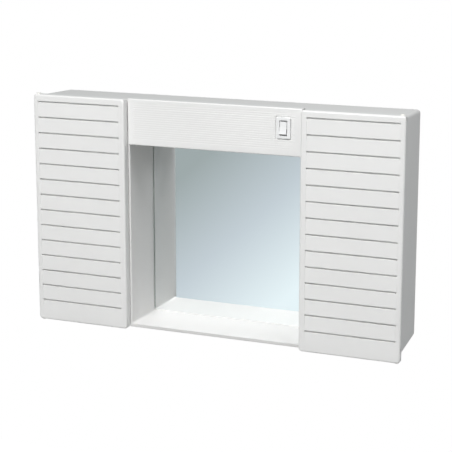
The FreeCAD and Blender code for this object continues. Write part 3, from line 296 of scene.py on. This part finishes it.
# The sheet's colour is painted grey, darker than the lamps' white: painted shade for the unlit, closed dark
# compartment behind it.
OPAL_SHEET_PAINTED_SHADE = opal("opal_acrylic_painted_shade", "#C4C3BE", "#BCBBB6",
                  roughness=0.30, ior=1.49, depth_mm=3.0, wave_mm=20.0)
OPAL_GLASS = opal("opal_glass", "#F8F7F1", "#EFEEE8",
                  roughness=0.08, ior=1.52, depth_mm=1.5, wave_mm=12.0)
print("Made", OPAL_SHEET_PAINTED_SHADE.name, "and", OPAL_GLASS.name)

# %% [markdown]
# ## Plated steel and brass
#
# Screws and strike plates are zinc-plated steel, which is bright, a little blue and faintly spangled. The
# lamp caps and terminals are brass, drawn and then rolled to shape, with fine lines left by the rollers. One
# noise draws both, stretched into lines for the brass. A metal's colour is its reflection, so both are fully
# metallic and keep the default index of refraction.

# %% The metals
LINE_DEPTH_MM = 0.02
LINE_STRENGTH = 0.15
LINE_SPREAD = 0.3


def drawn_metal(name, colour, shade, roughness, line_mm, stretch):
    """A metal with a patchy polish, in spots or, where it is stretched, in fine lines."""
    material, tree, surface, place = start_finish(name, Metallic=1.0)
    along = add(tree, "ShaderNodeMapping", {"Vector": place, "Scale": stretch})
    lines = add(tree, "ShaderNodeTexNoise",
                {"Vector": along.outputs[0], "Scale": per_metre(line_mm), "Detail": 2.0})
    tint = add(tree, "ShaderNodeMix", {0: lines.outputs["Fac"], 6: linear(colour), 7: linear(shade)},
               data_type="RGBA")
    rough = add(tree, "ShaderNodeMapRange",
                {"Value": lines.outputs["Fac"],
                 "To Min": roughness * (1 - LINE_SPREAD), "To Max": roughness * (1 + LINE_SPREAD)})
    skin = add(tree, "ShaderNodeBump",
               {"Height": lines.outputs["Fac"], "Strength": LINE_STRENGTH, "Distance": LINE_DEPTH_MM * MM})
    tree.links.new(tint.outputs[2], surface.inputs["Base Color"])
    tree.links.new(rough.outputs["Result"], surface.inputs["Roughness"])
    tree.links.new(skin.outputs["Normal"], surface.inputs["Normal"])
    return material


ZINC_STEEL = drawn_metal("zinc_plated_steel", "#D3D6DA", "#BFC4CA",
                         roughness=0.26, line_mm=1.5, stretch=(1.0, 1.0, 1.0))
DRAWN_BRASS = drawn_metal("drawn_brass", "#DDBD78", "#C9A55C",
                          roughness=0.24, line_mm=0.5, stretch=(1.0, 0.1, 0.1))
print("Made", ZINC_STEEL.name, "and", DRAWN_BRASS.name)

# %% [markdown]
# ## Dressing the solids
#
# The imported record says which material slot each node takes. One table gives each slot its finish, and the
# doors and the pelmet, whose moulds are polished a little more than the body's, get the face white.

# %% Give every node its finish
SLOT_FINISHES = {
    "body_plastic": BODY_WHITE, "pin_plastic": PIN_WHITE, "mirror_glass": MIRROR_GLASS, "foam": FOAM_WHITE,
    "opal_sheet": OPAL_SHEET_PAINTED_SHADE, "zinc_steel": ZINC_STEEL, "fitting_plastic": FITTING_WHITE,
    "ferrite": MAGNET_BLACK, "contact_brass": DRAWN_BRASS, "opal_glass": OPAL_GLASS,
    "rubber": GROMMET_BLACK, "switch_plastic": SWITCH_WHITE, "brown_pvc": LEAD_BROWN, "blue_pvc": LEAD_BLUE,
}
FACE_NODES = ("left_door", "right_door", "pelmet")
node_slots = {part["node"]: part["material_slot"] for part in frame["record"]["subparts"]}


def finish_of(node):
    """The finish of a node, by its slot."""
    return FACE_WHITE if node in FACE_NODES else SLOT_FINISHES[node_slots[node]]


for node, solid in frame["nodes"].items():
    solid.data.materials.clear()
    solid.data.materials.append(finish_of(node))
print("Dressed", len(frame["nodes"]), "nodes")

# %% [markdown]
# ## Softened edges
#
# No moulding is razor-sharp: the tool's edges leave it a few tenths of a millimetre round, and that thin
# rounding catches the light along every slat and rib. The solids are sharp there. A bevel node in the finish
# could fake the rounding, but the meshes themselves would stay sharp, so the solids that the eye reads are
# copied and their copies rounded. A solid comes as loose triangles, so its copy is merged first, and the
# triangles of each flat face are dissolved into one. When a copy is rounded, weighted normals keep its flat
# faces flat in the shading, with all the turning in the roundings.

# %% Copying a solid
WELD_MM = 0.002
FLAT_ANGLE = math.radians(1.0)
SHARP_ANGLE = math.radians(35.0)


def only(piece):
    """Select one object alone and make it the active one."""
    bpy.ops.object.select_all(action="DESELECT")
    piece.select_set(True)
    bpy.context.view_layer.objects.active = piece


def merged_copy(node):
    """A copy of a node with its triangles merged into clean faces and its sharp edges selected."""
    piece = bpy.data.objects.new("soft_" + node, frame["nodes"][node].data.copy())
    bpy.context.scene.collection.objects.link(piece)
    only(piece)
    bpy.ops.mesh.customdata_custom_splitnormals_clear()
    bpy.ops.object.mode_set(mode="EDIT")
    bpy.ops.mesh.select_mode(type="EDGE")
    bpy.ops.mesh.select_all(action="SELECT")
    bpy.ops.mesh.remove_doubles(threshold=WELD_MM * MM)
    bpy.ops.mesh.dissolve_limited(angle_limit=FLAT_ANGLE)
    bpy.ops.mesh.select_all(action="DESELECT")
    bpy.ops.mesh.edges_select_sharp(sharpness=SHARP_ANGLE)
    bpy.ops.object.mode_set(mode="OBJECT")
    return piece


print("Edges over", round(math.degrees(SHARP_ANGLE)), "degrees count as sharp")

# %% Finishing a piece
def apply_modifier(piece, kind, **settings):
    """Add a modifier with its settings and apply it."""
    only(piece)
    modifier = piece.modifiers.new(kind.lower(), kind)
    for name, value in settings.items():
        setattr(modifier, name, value)
    bpy.ops.object.modifier_apply(modifier=modifier.name)


def dress(piece, node):
    """Shade a finished piece and put it in its node's place: on the node's body, with its finish, and the
    node hidden.
    """
    only(piece)
    bpy.ops.object.shade_smooth_by_angle(angle=SHARP_ANGLE)
    apply_modifier(piece, "WEIGHTED_NORMAL", keep_sharp=True)
    piece.data.materials.clear()
    piece.data.materials.append(finish_of(node))
    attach(piece, frame["nodes"][node]["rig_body"])
    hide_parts(node)


print("Ready to finish the copies")

# %% [markdown]
# ## The slats of the doors
#
# A louvred door shows a thin bright line along each slat, where the rounded edge turns towards the light.
# The door has many other sharp edges, and a bevel on all of them would run into itself in the narrow
# grooves. So only the long edges of the slats, and the uprights at their ends, are selected by their place
# and bevelled.

# %% Round the slats
SLAT_ROUND_MM = 0.5
SLAT_DEPTH_MM = 2.0
BORDER_MM = 7.0
UPRIGHT_MM = 7.0  # the shortest upright that counts


def keep_slat_edges(piece, node):
    """Of the selected edges, keep those along the slats and the uprights at the slats' ends."""
    low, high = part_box(node)
    mesh = piece.data
    kept = []
    for edge in mesh.edges:
        ends = [mesh.vertices[i].co for i in edge.vertices]
        inside = all(low.x + BORDER_MM * MM < p.x < high.x - BORDER_MM * MM for p in ends)
        at_front = all(p.y < low.y + SLAT_DEPTH_MM * MM for p in ends)
        along_slat = abs(ends[0].x - ends[1].x) > (high.x - low.x) / 2
        on_face = all(p.y < low.y + WELD_MM * MM for p in ends)
        upright = on_face and abs(ends[0].z - ends[1].z) > UPRIGHT_MM * MM
        kept.append(edge.select and inside and at_front and (along_slat or upright))
    # A selected face would bring all its edges along, so faces and corners are let go first.
    mesh.polygons.foreach_set("select", [False] * len(mesh.polygons))
    mesh.vertices.foreach_set("select", [False] * len(mesh.vertices))
    mesh.edges.foreach_set("select", kept)
    print(node, "has", sum(kept), "slat edges")


for node in ("left_door", "right_door"):
    door = merged_copy(node)
    keep_slat_edges(door, node)
    bpy.ops.object.mode_set(mode="EDIT")
    bpy.ops.mesh.bevel(offset=SLAT_ROUND_MM * MM, segments=3, affect="EDGES")
    bpy.ops.object.mode_set(mode="OBJECT")
    dress(door, node)

# %% [markdown]
# ## The pelmet, switch, shelves and catches
#
# These mouldings are simple enough for a bevel modifier that rounds every sharp edge. The pelmet's fine ribs
# are only faint lines on the real moulding, so the bottoms of their grooves are raised a little first, and
# the grooves blend into the face.

# %% Round the other mouldings
EDGE_ROUND_MM = 0.3
RIB_DEPTH_MM = 0.6
RIB_RISE_MM = 0.2


def soften_ribs(piece):
    """Raise the bottoms of the pelmet's fine grooves."""
    mesh = piece.data
    bottom = min(corner.co.y for corner in mesh.vertices) + RIB_DEPTH_MM * MM
    bpy.ops.object.mode_set(mode="EDIT")
    bpy.ops.mesh.select_mode(type="VERT")
    bpy.ops.mesh.select_all(action="DESELECT")
    bpy.ops.object.mode_set(mode="OBJECT")
    lowest = [abs(corner.co.y - bottom) < WELD_MM * MM for corner in mesh.vertices]
    mesh.vertices.foreach_set("select", lowest)
    bpy.ops.object.mode_set(mode="EDIT")
    bpy.ops.transform.translate(value=(0, -RIB_RISE_MM * MM, 0))
    bpy.ops.object.mode_set(mode="OBJECT")
    print("Raised", sum(lowest), "corners of the grooves")


ROUNDED_NODES = ["pelmet", "switch_housing", "switch_rocker"]
ROUNDED_NODES += [f"{side}_{name}" for side in ("left", "right")
                  for name in ("upper_shelf", "lower_shelf", "catch_housing")]
for node in ROUNDED_NODES:
    moulding = merged_copy(node)
    if node == "pelmet":
        soften_ribs(moulding)
    apply_modifier(moulding, "BEVEL", width=EDGE_ROUND_MM * MM, segments=2, limit_method="ANGLE",
                   angle_limit=SHARP_ANGLE, use_clamp_overlap=False)
    dress(moulding, node)
print("Rounded", len(ROUNDED_NODES), "mouldings")

# %% [markdown]
# ## Turned pieces
#
# The small fasteners and the lamp caps are smooth in the solids, with no thread or recess. Here each is
# turned, as on a lathe: a filled circle is extruded from ring to ring and resized to the next radius. A
# profile could be spun round the axis instead, but a spin leaves a seam to merge. Rings that go in and out
# stand for the thread, which is too small for the eye to tell them from a helix. A screw's head then gets
# its recess, a cross or a slot, cut by thin bars. The screw of a node is turned once, copied to its places
# and joined, so that one piece stands for each node.

# %% Turning
TURN_STEPS = 36


def turned(name, rings):
    """A round piece along Z, through rings of radius and height in mm."""
    bpy.ops.object.select_all(action="DESELECT")
    bpy.ops.mesh.primitive_circle_add(vertices=TURN_STEPS, radius=rings[0][0] * MM, fill_type="NGON",
                                      location=(0, 0, rings[0][1] * MM))
    piece = bpy.context.object
    piece.name = name
    bpy.ops.object.transform_apply(location=True)
    bpy.ops.object.mode_set(mode="EDIT")
    bpy.ops.mesh.select_all(action="SELECT")
    for (radius, height), (next_radius, next_height) in zip(rings, rings[1:]):
        bpy.ops.mesh.extrude_region_move(
            TRANSFORM_OT_translate={"value": (0, 0, (next_height - height) * MM)})
        bpy.ops.transform.resize(value=(next_radius / radius, next_radius / radius, 1))
    bpy.ops.mesh.select_all(action="SELECT")
    bpy.ops.mesh.normals_make_consistent(inside=False)
    bpy.ops.object.mode_set(mode="OBJECT")
    return piece


def thread(radius, start, end, pitch, depth):
    """Rings of a thread, from its start to its end."""
    turns = int((end - start) / pitch)
    return [(radius - depth * (i % 2), start + i * pitch / 2) for i in range(2 * turns + 1)]


print("Ready to turn round pieces")

# %% Recessing and placing
def recess(piece, length, width, depth, turns):
    """Cut bars of this length and width into the top of a head, one for each turn in degrees."""
    top = max(corner.co.z for corner in piece.data.vertices)
    for turn in turns:
        bpy.ops.object.select_all(action="DESELECT")
        bpy.ops.mesh.primitive_cube_add(
            size=1.0, location=(0, 0, top), rotation=(0, 0, math.radians(turn)),
            scale=(length * MM, width * MM, 2 * depth * MM))
        bar = bpy.context.object
        apply_modifier(piece, "BOOLEAN", object=bar, operation="DIFFERENCE", solver="EXACT")
        bpy.data.objects.remove(bar)


def set_out(pattern, places, facing):
    """Copies of a turned piece, each with its head at a place and facing one way, joined into one."""
    turn = Vector((0, 0, 1)).rotation_difference(Vector(facing)).to_euler()
    copies = []
    for place in places:
        copy = bpy.data.objects.new(pattern.name, pattern.data.copy())
        bpy.context.scene.collection.objects.link(copy)
        copy.location = place
        copy.rotation_euler = turn
        only(copy)
        bpy.ops.object.transform_apply(location=True, rotation=True)
        copies.append(copy)
    for copy in copies:
        copy.select_set(True)
    if len(copies) > 1:
        bpy.ops.object.join()
    return bpy.context.object


print("Ready to recess the heads and set the pieces out")

# %% [markdown]
# ## Screws
#
# The pelmet and the lamp holders are held by pan-head screws, the strike plates by countersunk ones, and the
# leads by slotted clamp screws. Each kind takes its length and place from the box of its plain node, and its
# rings are shares of the stem's and the head's radius, as on common screws.

# %% The pelmet's screws
CROSS_TURNS = (45, 135)
PAN_HEAD_MM = (3.2, 2.0)  # radius and height
STEM_MM = 1.5


def pan_screw(name, stem, length, head_radius, head_height):
    """A cross-head screw whose head stands on Z = 0, with its stem below."""
    rings = [(stem * 0.45, -length), (stem * 0.7, -length + stem)]
    rings += thread(stem, -length + 1.4 * stem, -stem, 0.8 * stem, 0.22 * stem)
    rings += [(stem * 0.8, -0.4 * stem), (stem * 0.8, 0.0), (head_radius * 0.98, 0.0)]
    rings += [(head_radius, 0.45 * head_height), (0.86 * head_radius, 0.82 * head_height),
              (0.55 * head_radius, head_height)]
    screw = turned(name, rings)
    recess(screw, 1.15 * head_radius, 0.26 * head_radius, 0.6 * head_height, CROSS_TURNS)
    return screw


low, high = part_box("pelmet_screws")
pan = pan_screw("pelmet_screw_heads", STEM_MM, (high.z - low.z) / MM - PAN_HEAD_MM[1], *PAN_HEAD_MM)
seats = [Vector((x, (low.y + high.y) / 2, low.z + PAN_HEAD_MM[1] * MM))
         for x in (low.x + PAN_HEAD_MM[0] * MM, high.x - PAN_HEAD_MM[0] * MM)]
dress(set_out(pan, seats, (0, 0, -1)), "pelmet_screws")
bpy.data.objects.remove(pan)
print("Set out the pelmet's screws")

# %% The screws of the lamp holders
SMALL_HEAD_MM = (2.4, 1.6)  # radius and height
SMALL_STEM_MM = 1.3

low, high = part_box("lamp_holder_screws")
head_face = min(abs(corner.co.x) for corner in frame["nodes"]["lamp_holder_screws"].data.vertices)
stem_length = (high.x - head_face) / MM - SMALL_HEAD_MM[1]
small = pan_screw("holder_screw", SMALL_STEM_MM, stem_length, *SMALL_HEAD_MM)
heights = [low.z + SMALL_HEAD_MM[0] * MM, high.z - SMALL_HEAD_MM[0] * MM]
sets = []
for side, end in ((-1, low.x), (1, high.x)):
    seats = [Vector((end - side * stem_length * MM, (low.y + high.y) / 2, z)) for z in heights]
    sets.append(set_out(small, seats, (-side, 0, 0)))
only(sets[0])
sets[1].select_set(True)
bpy.ops.object.join()
dress(sets[0], "lamp_holder_screws")
bpy.data.objects.remove(small)
print("Set out the screws of the lamp holders,", round(stem_length, 1), "mm long under the head")

# %% The screws of the strike plates
SINK_MM = 1.0
STRIKE_THREAD_MM = (0.9, 0.25)  # pitch and depth
STRIKE_RECESS_MM = 0.8

for side in ("left", "right"):
    low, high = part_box(f"{side}_strike_screw")
    head, length = (high.x - low.x) / 2 / MM, (high.y - low.y) / MM
    rings = [(SMALL_STEM_MM * 0.45, -length), (SMALL_STEM_MM * 0.7, -length + SMALL_STEM_MM)]
    rings += thread(SMALL_STEM_MM, -length + 1.4 * SMALL_STEM_MM, -1.2 * SINK_MM, *STRIKE_THREAD_MM)
    rings += [(SMALL_STEM_MM, -SINK_MM), (head, -0.05 * SINK_MM), (head * 0.98, 0.0)]
    countersunk = turned(f"{side}_strike_screw_head", rings)
    recess(countersunk, 1.2 * head, 0.26 * head, STRIKE_RECESS_MM, CROSS_TURNS)
    place = Vector(((low.x + high.x) / 2, high.y, (low.z + high.z) / 2))
    dress(set_out(countersunk, [place], (0, 1, 0)), f"{side}_strike_screw")
    bpy.data.objects.remove(countersunk)
print("Set a countersunk screw in each strike plate")

# %% The clamp screws of the terminal block
SLOT_MM = (0.7, 0.8)  # width and depth
CLAMP_THREAD_MM = (0.7, 0.2)  # pitch and depth
CLAMP_POINT_MM = 0.3
CLAMP_RIM_MM = 0.2

low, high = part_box("terminal_screws")
clamp, length = (high.z - low.z) / 2 / MM, (high.y - low.y) / MM
rings = [(0.8 * clamp, -length)]
rings += thread(clamp, -length + CLAMP_POINT_MM, -2 * CLAMP_RIM_MM, *CLAMP_THREAD_MM)
rings += [(clamp, -CLAMP_RIM_MM), (0.9 * clamp, 0.0)]
grub = turned("clamp_screw", rings)
recess(grub, 2.4 * clamp, *SLOT_MM, (0,))
middle = (low.x + high.x) / 2
places = [Vector((x, low.y, (low.z + high.z) / 2))
          for x in (low.x + clamp * MM, middle, high.x - clamp * MM)]
dress(set_out(grub, places, (0, -1, 0)), "terminal_screws")
bpy.data.objects.remove(grub)
print("Set out the clamp screws")

# %% [markdown]
# ## Lamp caps
#
# A lamp's cap is thin brass rolled into a coarse round thread, which ends in a narrower tip with the centre
# contact. It is turned in the same way as the screws, with rings far enough apart to read as a rolled
# thread.

# %% The lamp caps
CAP_THREAD_MM = (2.8, 0.7)  # pitch and depth
CAP_RIM_MM = 2.0
CAP_NECK_MM = 1.0
CAP_TIP_MM = 3.0
CAP_SHOULDER_MM = 1.2
CAP_CONTACT_MM = 0.4

for side, facing in (("left", -1), ("right", 1)):
    low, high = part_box(f"{side}_lamp_cap")
    radius, length = (high.z - low.z) / 2 / MM, (high.x - low.x) / MM
    rings = [(0.94 * radius, -length)]
    rings += thread(radius, -length + CAP_RIM_MM, -CAP_TIP_MM - CAP_NECK_MM, *CAP_THREAD_MM)
    rings += [(0.9 * radius, -CAP_TIP_MM), (0.57 * radius, -CAP_SHOULDER_MM),
              (0.5 * radius, -CAP_CONTACT_MM), (0.3 * radius, 0.0)]
    cap = turned(f"{side}_threaded_cap", rings)
    outer = low.x if side == "left" else high.x
    place = Vector((outer, (low.y + high.y) / 2, (low.z + high.z) / 2))
    dress(set_out(cap, [place], (facing, 0, 0)), f"{side}_lamp_cap")
    bpy.data.objects.remove(cap)
print("Turned the lamp caps")

# %% [markdown]
# ## Stage and light
#
# The cabinet hangs on a wall, at the height of a face, so the floor is well below it. The floor is plain and
# pale. A backdrop could curve up from it behind the cabinet, but that would hide the cabinet from the back.
# So to the camera the floor is lifted towards white, less under the cabinet, where it keeps the soft shadow,
# and fully at its rim, where it runs into the white background.

# %% The floor
FLOOR_DROP = 1.2  # metres below the cabinet
FLOOR_SIZE = 4.0  # metres
FLOOR_MOTTLE_MM = 40.0
LIFT_FROM, LIFT_TO = 0.8, 2.0  # metres from the middle
LIFT_UNDER = 0.4


def pale_floor(name):
    """A white floor: plain diffuse for light and shadow, lifted to white for the camera."""
    material, tree, surface, place = start_finish(name, Roughness=0.9)
    mottle = add(tree, "ShaderNodeTexNoise",
                 {"Vector": place, "Scale": per_metre(FLOOR_MOTTLE_MM), "Detail": 2.0})
    tint = add(tree, "ShaderNodeMix", {0: mottle.outputs["Fac"], 6: linear("#ECECEA"), 7: linear("#E7E7E5")},
               data_type="RGBA")
    tree.links.new(tint.outputs[2], surface.inputs["Base Color"])
    rays = add(tree, "ShaderNodeLightPath")
    seen = add(tree, "ShaderNodeMath",
               {0: rays.outputs["Is Camera Ray"], 1: rays.outputs["Is Transmission Ray"]},
               operation="MAXIMUM")
    away = add(tree, "ShaderNodeVectorMath", {0: place}, operation="LENGTH")
    lift = add(tree, "ShaderNodeMapRange", {"Value": away.outputs["Value"], "From Min": LIFT_FROM,
                                            "From Max": LIFT_TO, "To Min": LIFT_UNDER, "To Max": 1.0})
    lifted = add(tree, "ShaderNodeMath", {0: lift.outputs["Result"], 1: seen.outputs[0]},
                 operation="MULTIPLY")
    glow = add(tree, "ShaderNodeEmission", {"Color": (1.0, 1.0, 1.0, 1.0), "Strength": lifted.outputs[0]})
    both = add(tree, "ShaderNodeAddShader", {0: surface.outputs[0], 1: glow.outputs[0]})
    tree.links.new(both.outputs[0], tree.nodes["Material Output"].inputs["Surface"])
    return material


bpy.ops.object.select_all(action="DESELECT")
bpy.ops.mesh.primitive_plane_add(size=FLOOR_SIZE, location=(0, 0, cad_low.z - FLOOR_DROP))
floor = bpy.context.object
floor.name = "floor"
floor.data.materials.append(pale_floor("plain_floor"))
print("The floor is", FLOOR_DROP, "m below the cabinet")

# %% [markdown]
# ## Surroundings
#
# The surroundings are a world shader. The camera sees white. Rays that carry light see a dim even grey,
# which fills the shadows. What gloss and the mirror show of the room is a soft sheen, from grey-green to a
# pale blue that is almost white, and the room is dimmer to the right, so that the shaded side of the cabinet
# takes little shine from it. Screens round the cabinet could give the same sheen, but they would stand in
# the way of other views. All of it depends only on the direction that a ray takes, so it is a real
# surrounding, and it stays in its place when the camera moves.

# %% The surroundings
FILL_LEVEL = 0.06
SHEEN_SLOPE = (6.21, 0.0, -6.19)
SHEEN_START = 1.305
ROOM_FADE = (-0.05, 0.25)
ROOM_DIM = 0.35
SHEEN_COLOURS = (("#A4AEAF", 0.0), ("#CAD4DB", 0.5), ("#EFFBFF", 1.0))

world = bpy.data.worlds.new("studio")
world.use_nodes = True
bpy.context.scene.world = world
tree = world.node_tree
tree.nodes.clear()
direction = add(tree, "ShaderNodeTexCoord").outputs["Generated"]
along = add(tree, "ShaderNodeVectorMath", {0: direction, 1: SHEEN_SLOPE}, operation="DOT_PRODUCT")
share = add(tree, "ShaderNodeMath", {0: along.outputs["Value"], 1: SHEEN_START},
            operation="ADD", use_clamp=True)
sheen = add(tree, "ShaderNodeValToRGB", {"Fac": share.outputs[0]})
ramp = sheen.color_ramp
ramp.elements.new(SHEEN_COLOURS[1][1])
for stop, (colour, position) in zip(ramp.elements, SHEEN_COLOURS):
    stop.position = position
    stop.color = linear(colour)
rays = add(tree, "ShaderNodeLightPath")
fill = add(tree, "ShaderNodeBackground", {"Color": (1.0, 1.0, 1.0, 1.0), "Strength": FILL_LEVEL})
across = add(tree, "ShaderNodeSeparateXYZ", {"Vector": direction})
fade = add(tree, "ShaderNodeMapRange", {"Value": across.outputs["X"], "From Min": ROOM_FADE[0],
                                        "From Max": ROOM_FADE[1], "To Min": 1.0, "To Max": ROOM_DIM})
room = add(tree, "ShaderNodeBackground",
           {"Color": sheen.outputs["Color"], "Strength": fade.outputs["Result"]})
white = add(tree, "ShaderNodeBackground", {"Color": (1.0, 1.0, 1.0, 1.0), "Strength": 1.0})
reflected = add(tree, "ShaderNodeMixShader",
                {0: rays.outputs["Is Glossy Ray"], 1: fill.outputs[0], 2: room.outputs[0]})
seen = add(tree, "ShaderNodeMath",
           {0: rays.outputs["Is Camera Ray"], 1: rays.outputs["Is Transmission Ray"]}, operation="MAXIMUM")
shown = add(tree, "ShaderNodeMixShader", {0: seen.outputs[0], 1: reflected.outputs[0], 2: white.outputs[0]})
add(tree, "ShaderNodeOutputWorld", {"Surface": shown.outputs[0]})
print("The fill light is", FILL_LEVEL)

# %% [markdown]
# ## Soft boxes
#
# Four square lamps light the cabinet as in a small studio. They are large, because small ones would draw a
# hard shadow along every slat. The key stands in front, high and a little to the left: it makes the doors
# the brightest faces and leaves the sides in shade. The high one, over the right shoulder, lights the top
# and reaches into the niche under the pelmet. A weak one at the right, and one low behind on the left, keep
# the sides and the back from going dark.

# %% The soft boxes
AIM = Vector((0.0, -0.05, 0.0))
SOFT_BOXES = {  # place and size in metres, power in watts
    "key_box": ((-0.2, -2.6, 1.75), 0.9, 83.0),
    "high_box": ((1.1, -0.5, 1.9), 1.0, 16.5),
    "side_box": ((2.2, 0.5, 0.4), 1.0, 8.5),
    "rear_box": ((-1.4, 2.2, -0.5), 1.0, 34.0),
}


def soft_box(name, place, size, power):
    """A square lamp that faces the cabinet."""
    bpy.ops.object.light_add(type="AREA", location=place)
    lamp = bpy.context.object
    lamp.name = name
    lamp.data.shape = "SQUARE"
    lamp.data.size = size
    lamp.data.energy = power
    lamp.rotation_euler = (AIM - Vector(place)).to_track_quat("-Z", "Y").to_euler()


for name, (place, size, power) in SOFT_BOXES.items():
    soft_box(name, place, size, power)
print("Set up", len(SOFT_BOXES), "soft boxes")

# %% [markdown]
# ## Camera
#
# The camera stands to the right of the cabinet and a little above it, about two metres away. Its place,
# turn and lens were found by matching the cabinet's edges and louvre lines, and then tuned until the whole
# picture was most alike. The photograph's upright edges are nearly parallel, as with a shifted lens, so the
# lens is shifted a little here too.

# %% The camera
CAMERA_PLACE = (0.7917, -1.9527, 0.4707)  # metres
CAMERA_TURN = 22.46  # degrees to the left
CAMERA_DIP = 11.744  # degrees downwards
CAMERA_LENS = 110.92  # millimetres
CAMERA_SHIFT = -0.08  # share of the picture

bpy.ops.object.camera_add(location=CAMERA_PLACE,
                          rotation=(math.radians(90 - CAMERA_DIP), 0, math.radians(CAMERA_TURN)))
camera = bpy.context.object
camera.data.lens = CAMERA_LENS
camera.data.shift_y = CAMERA_SHIFT
bpy.context.scene.camera = camera
bpy.context.scene.view_settings.view_transform = "Standard"
print("The camera is", round((camera.location - AIM).length, 2), "m away")
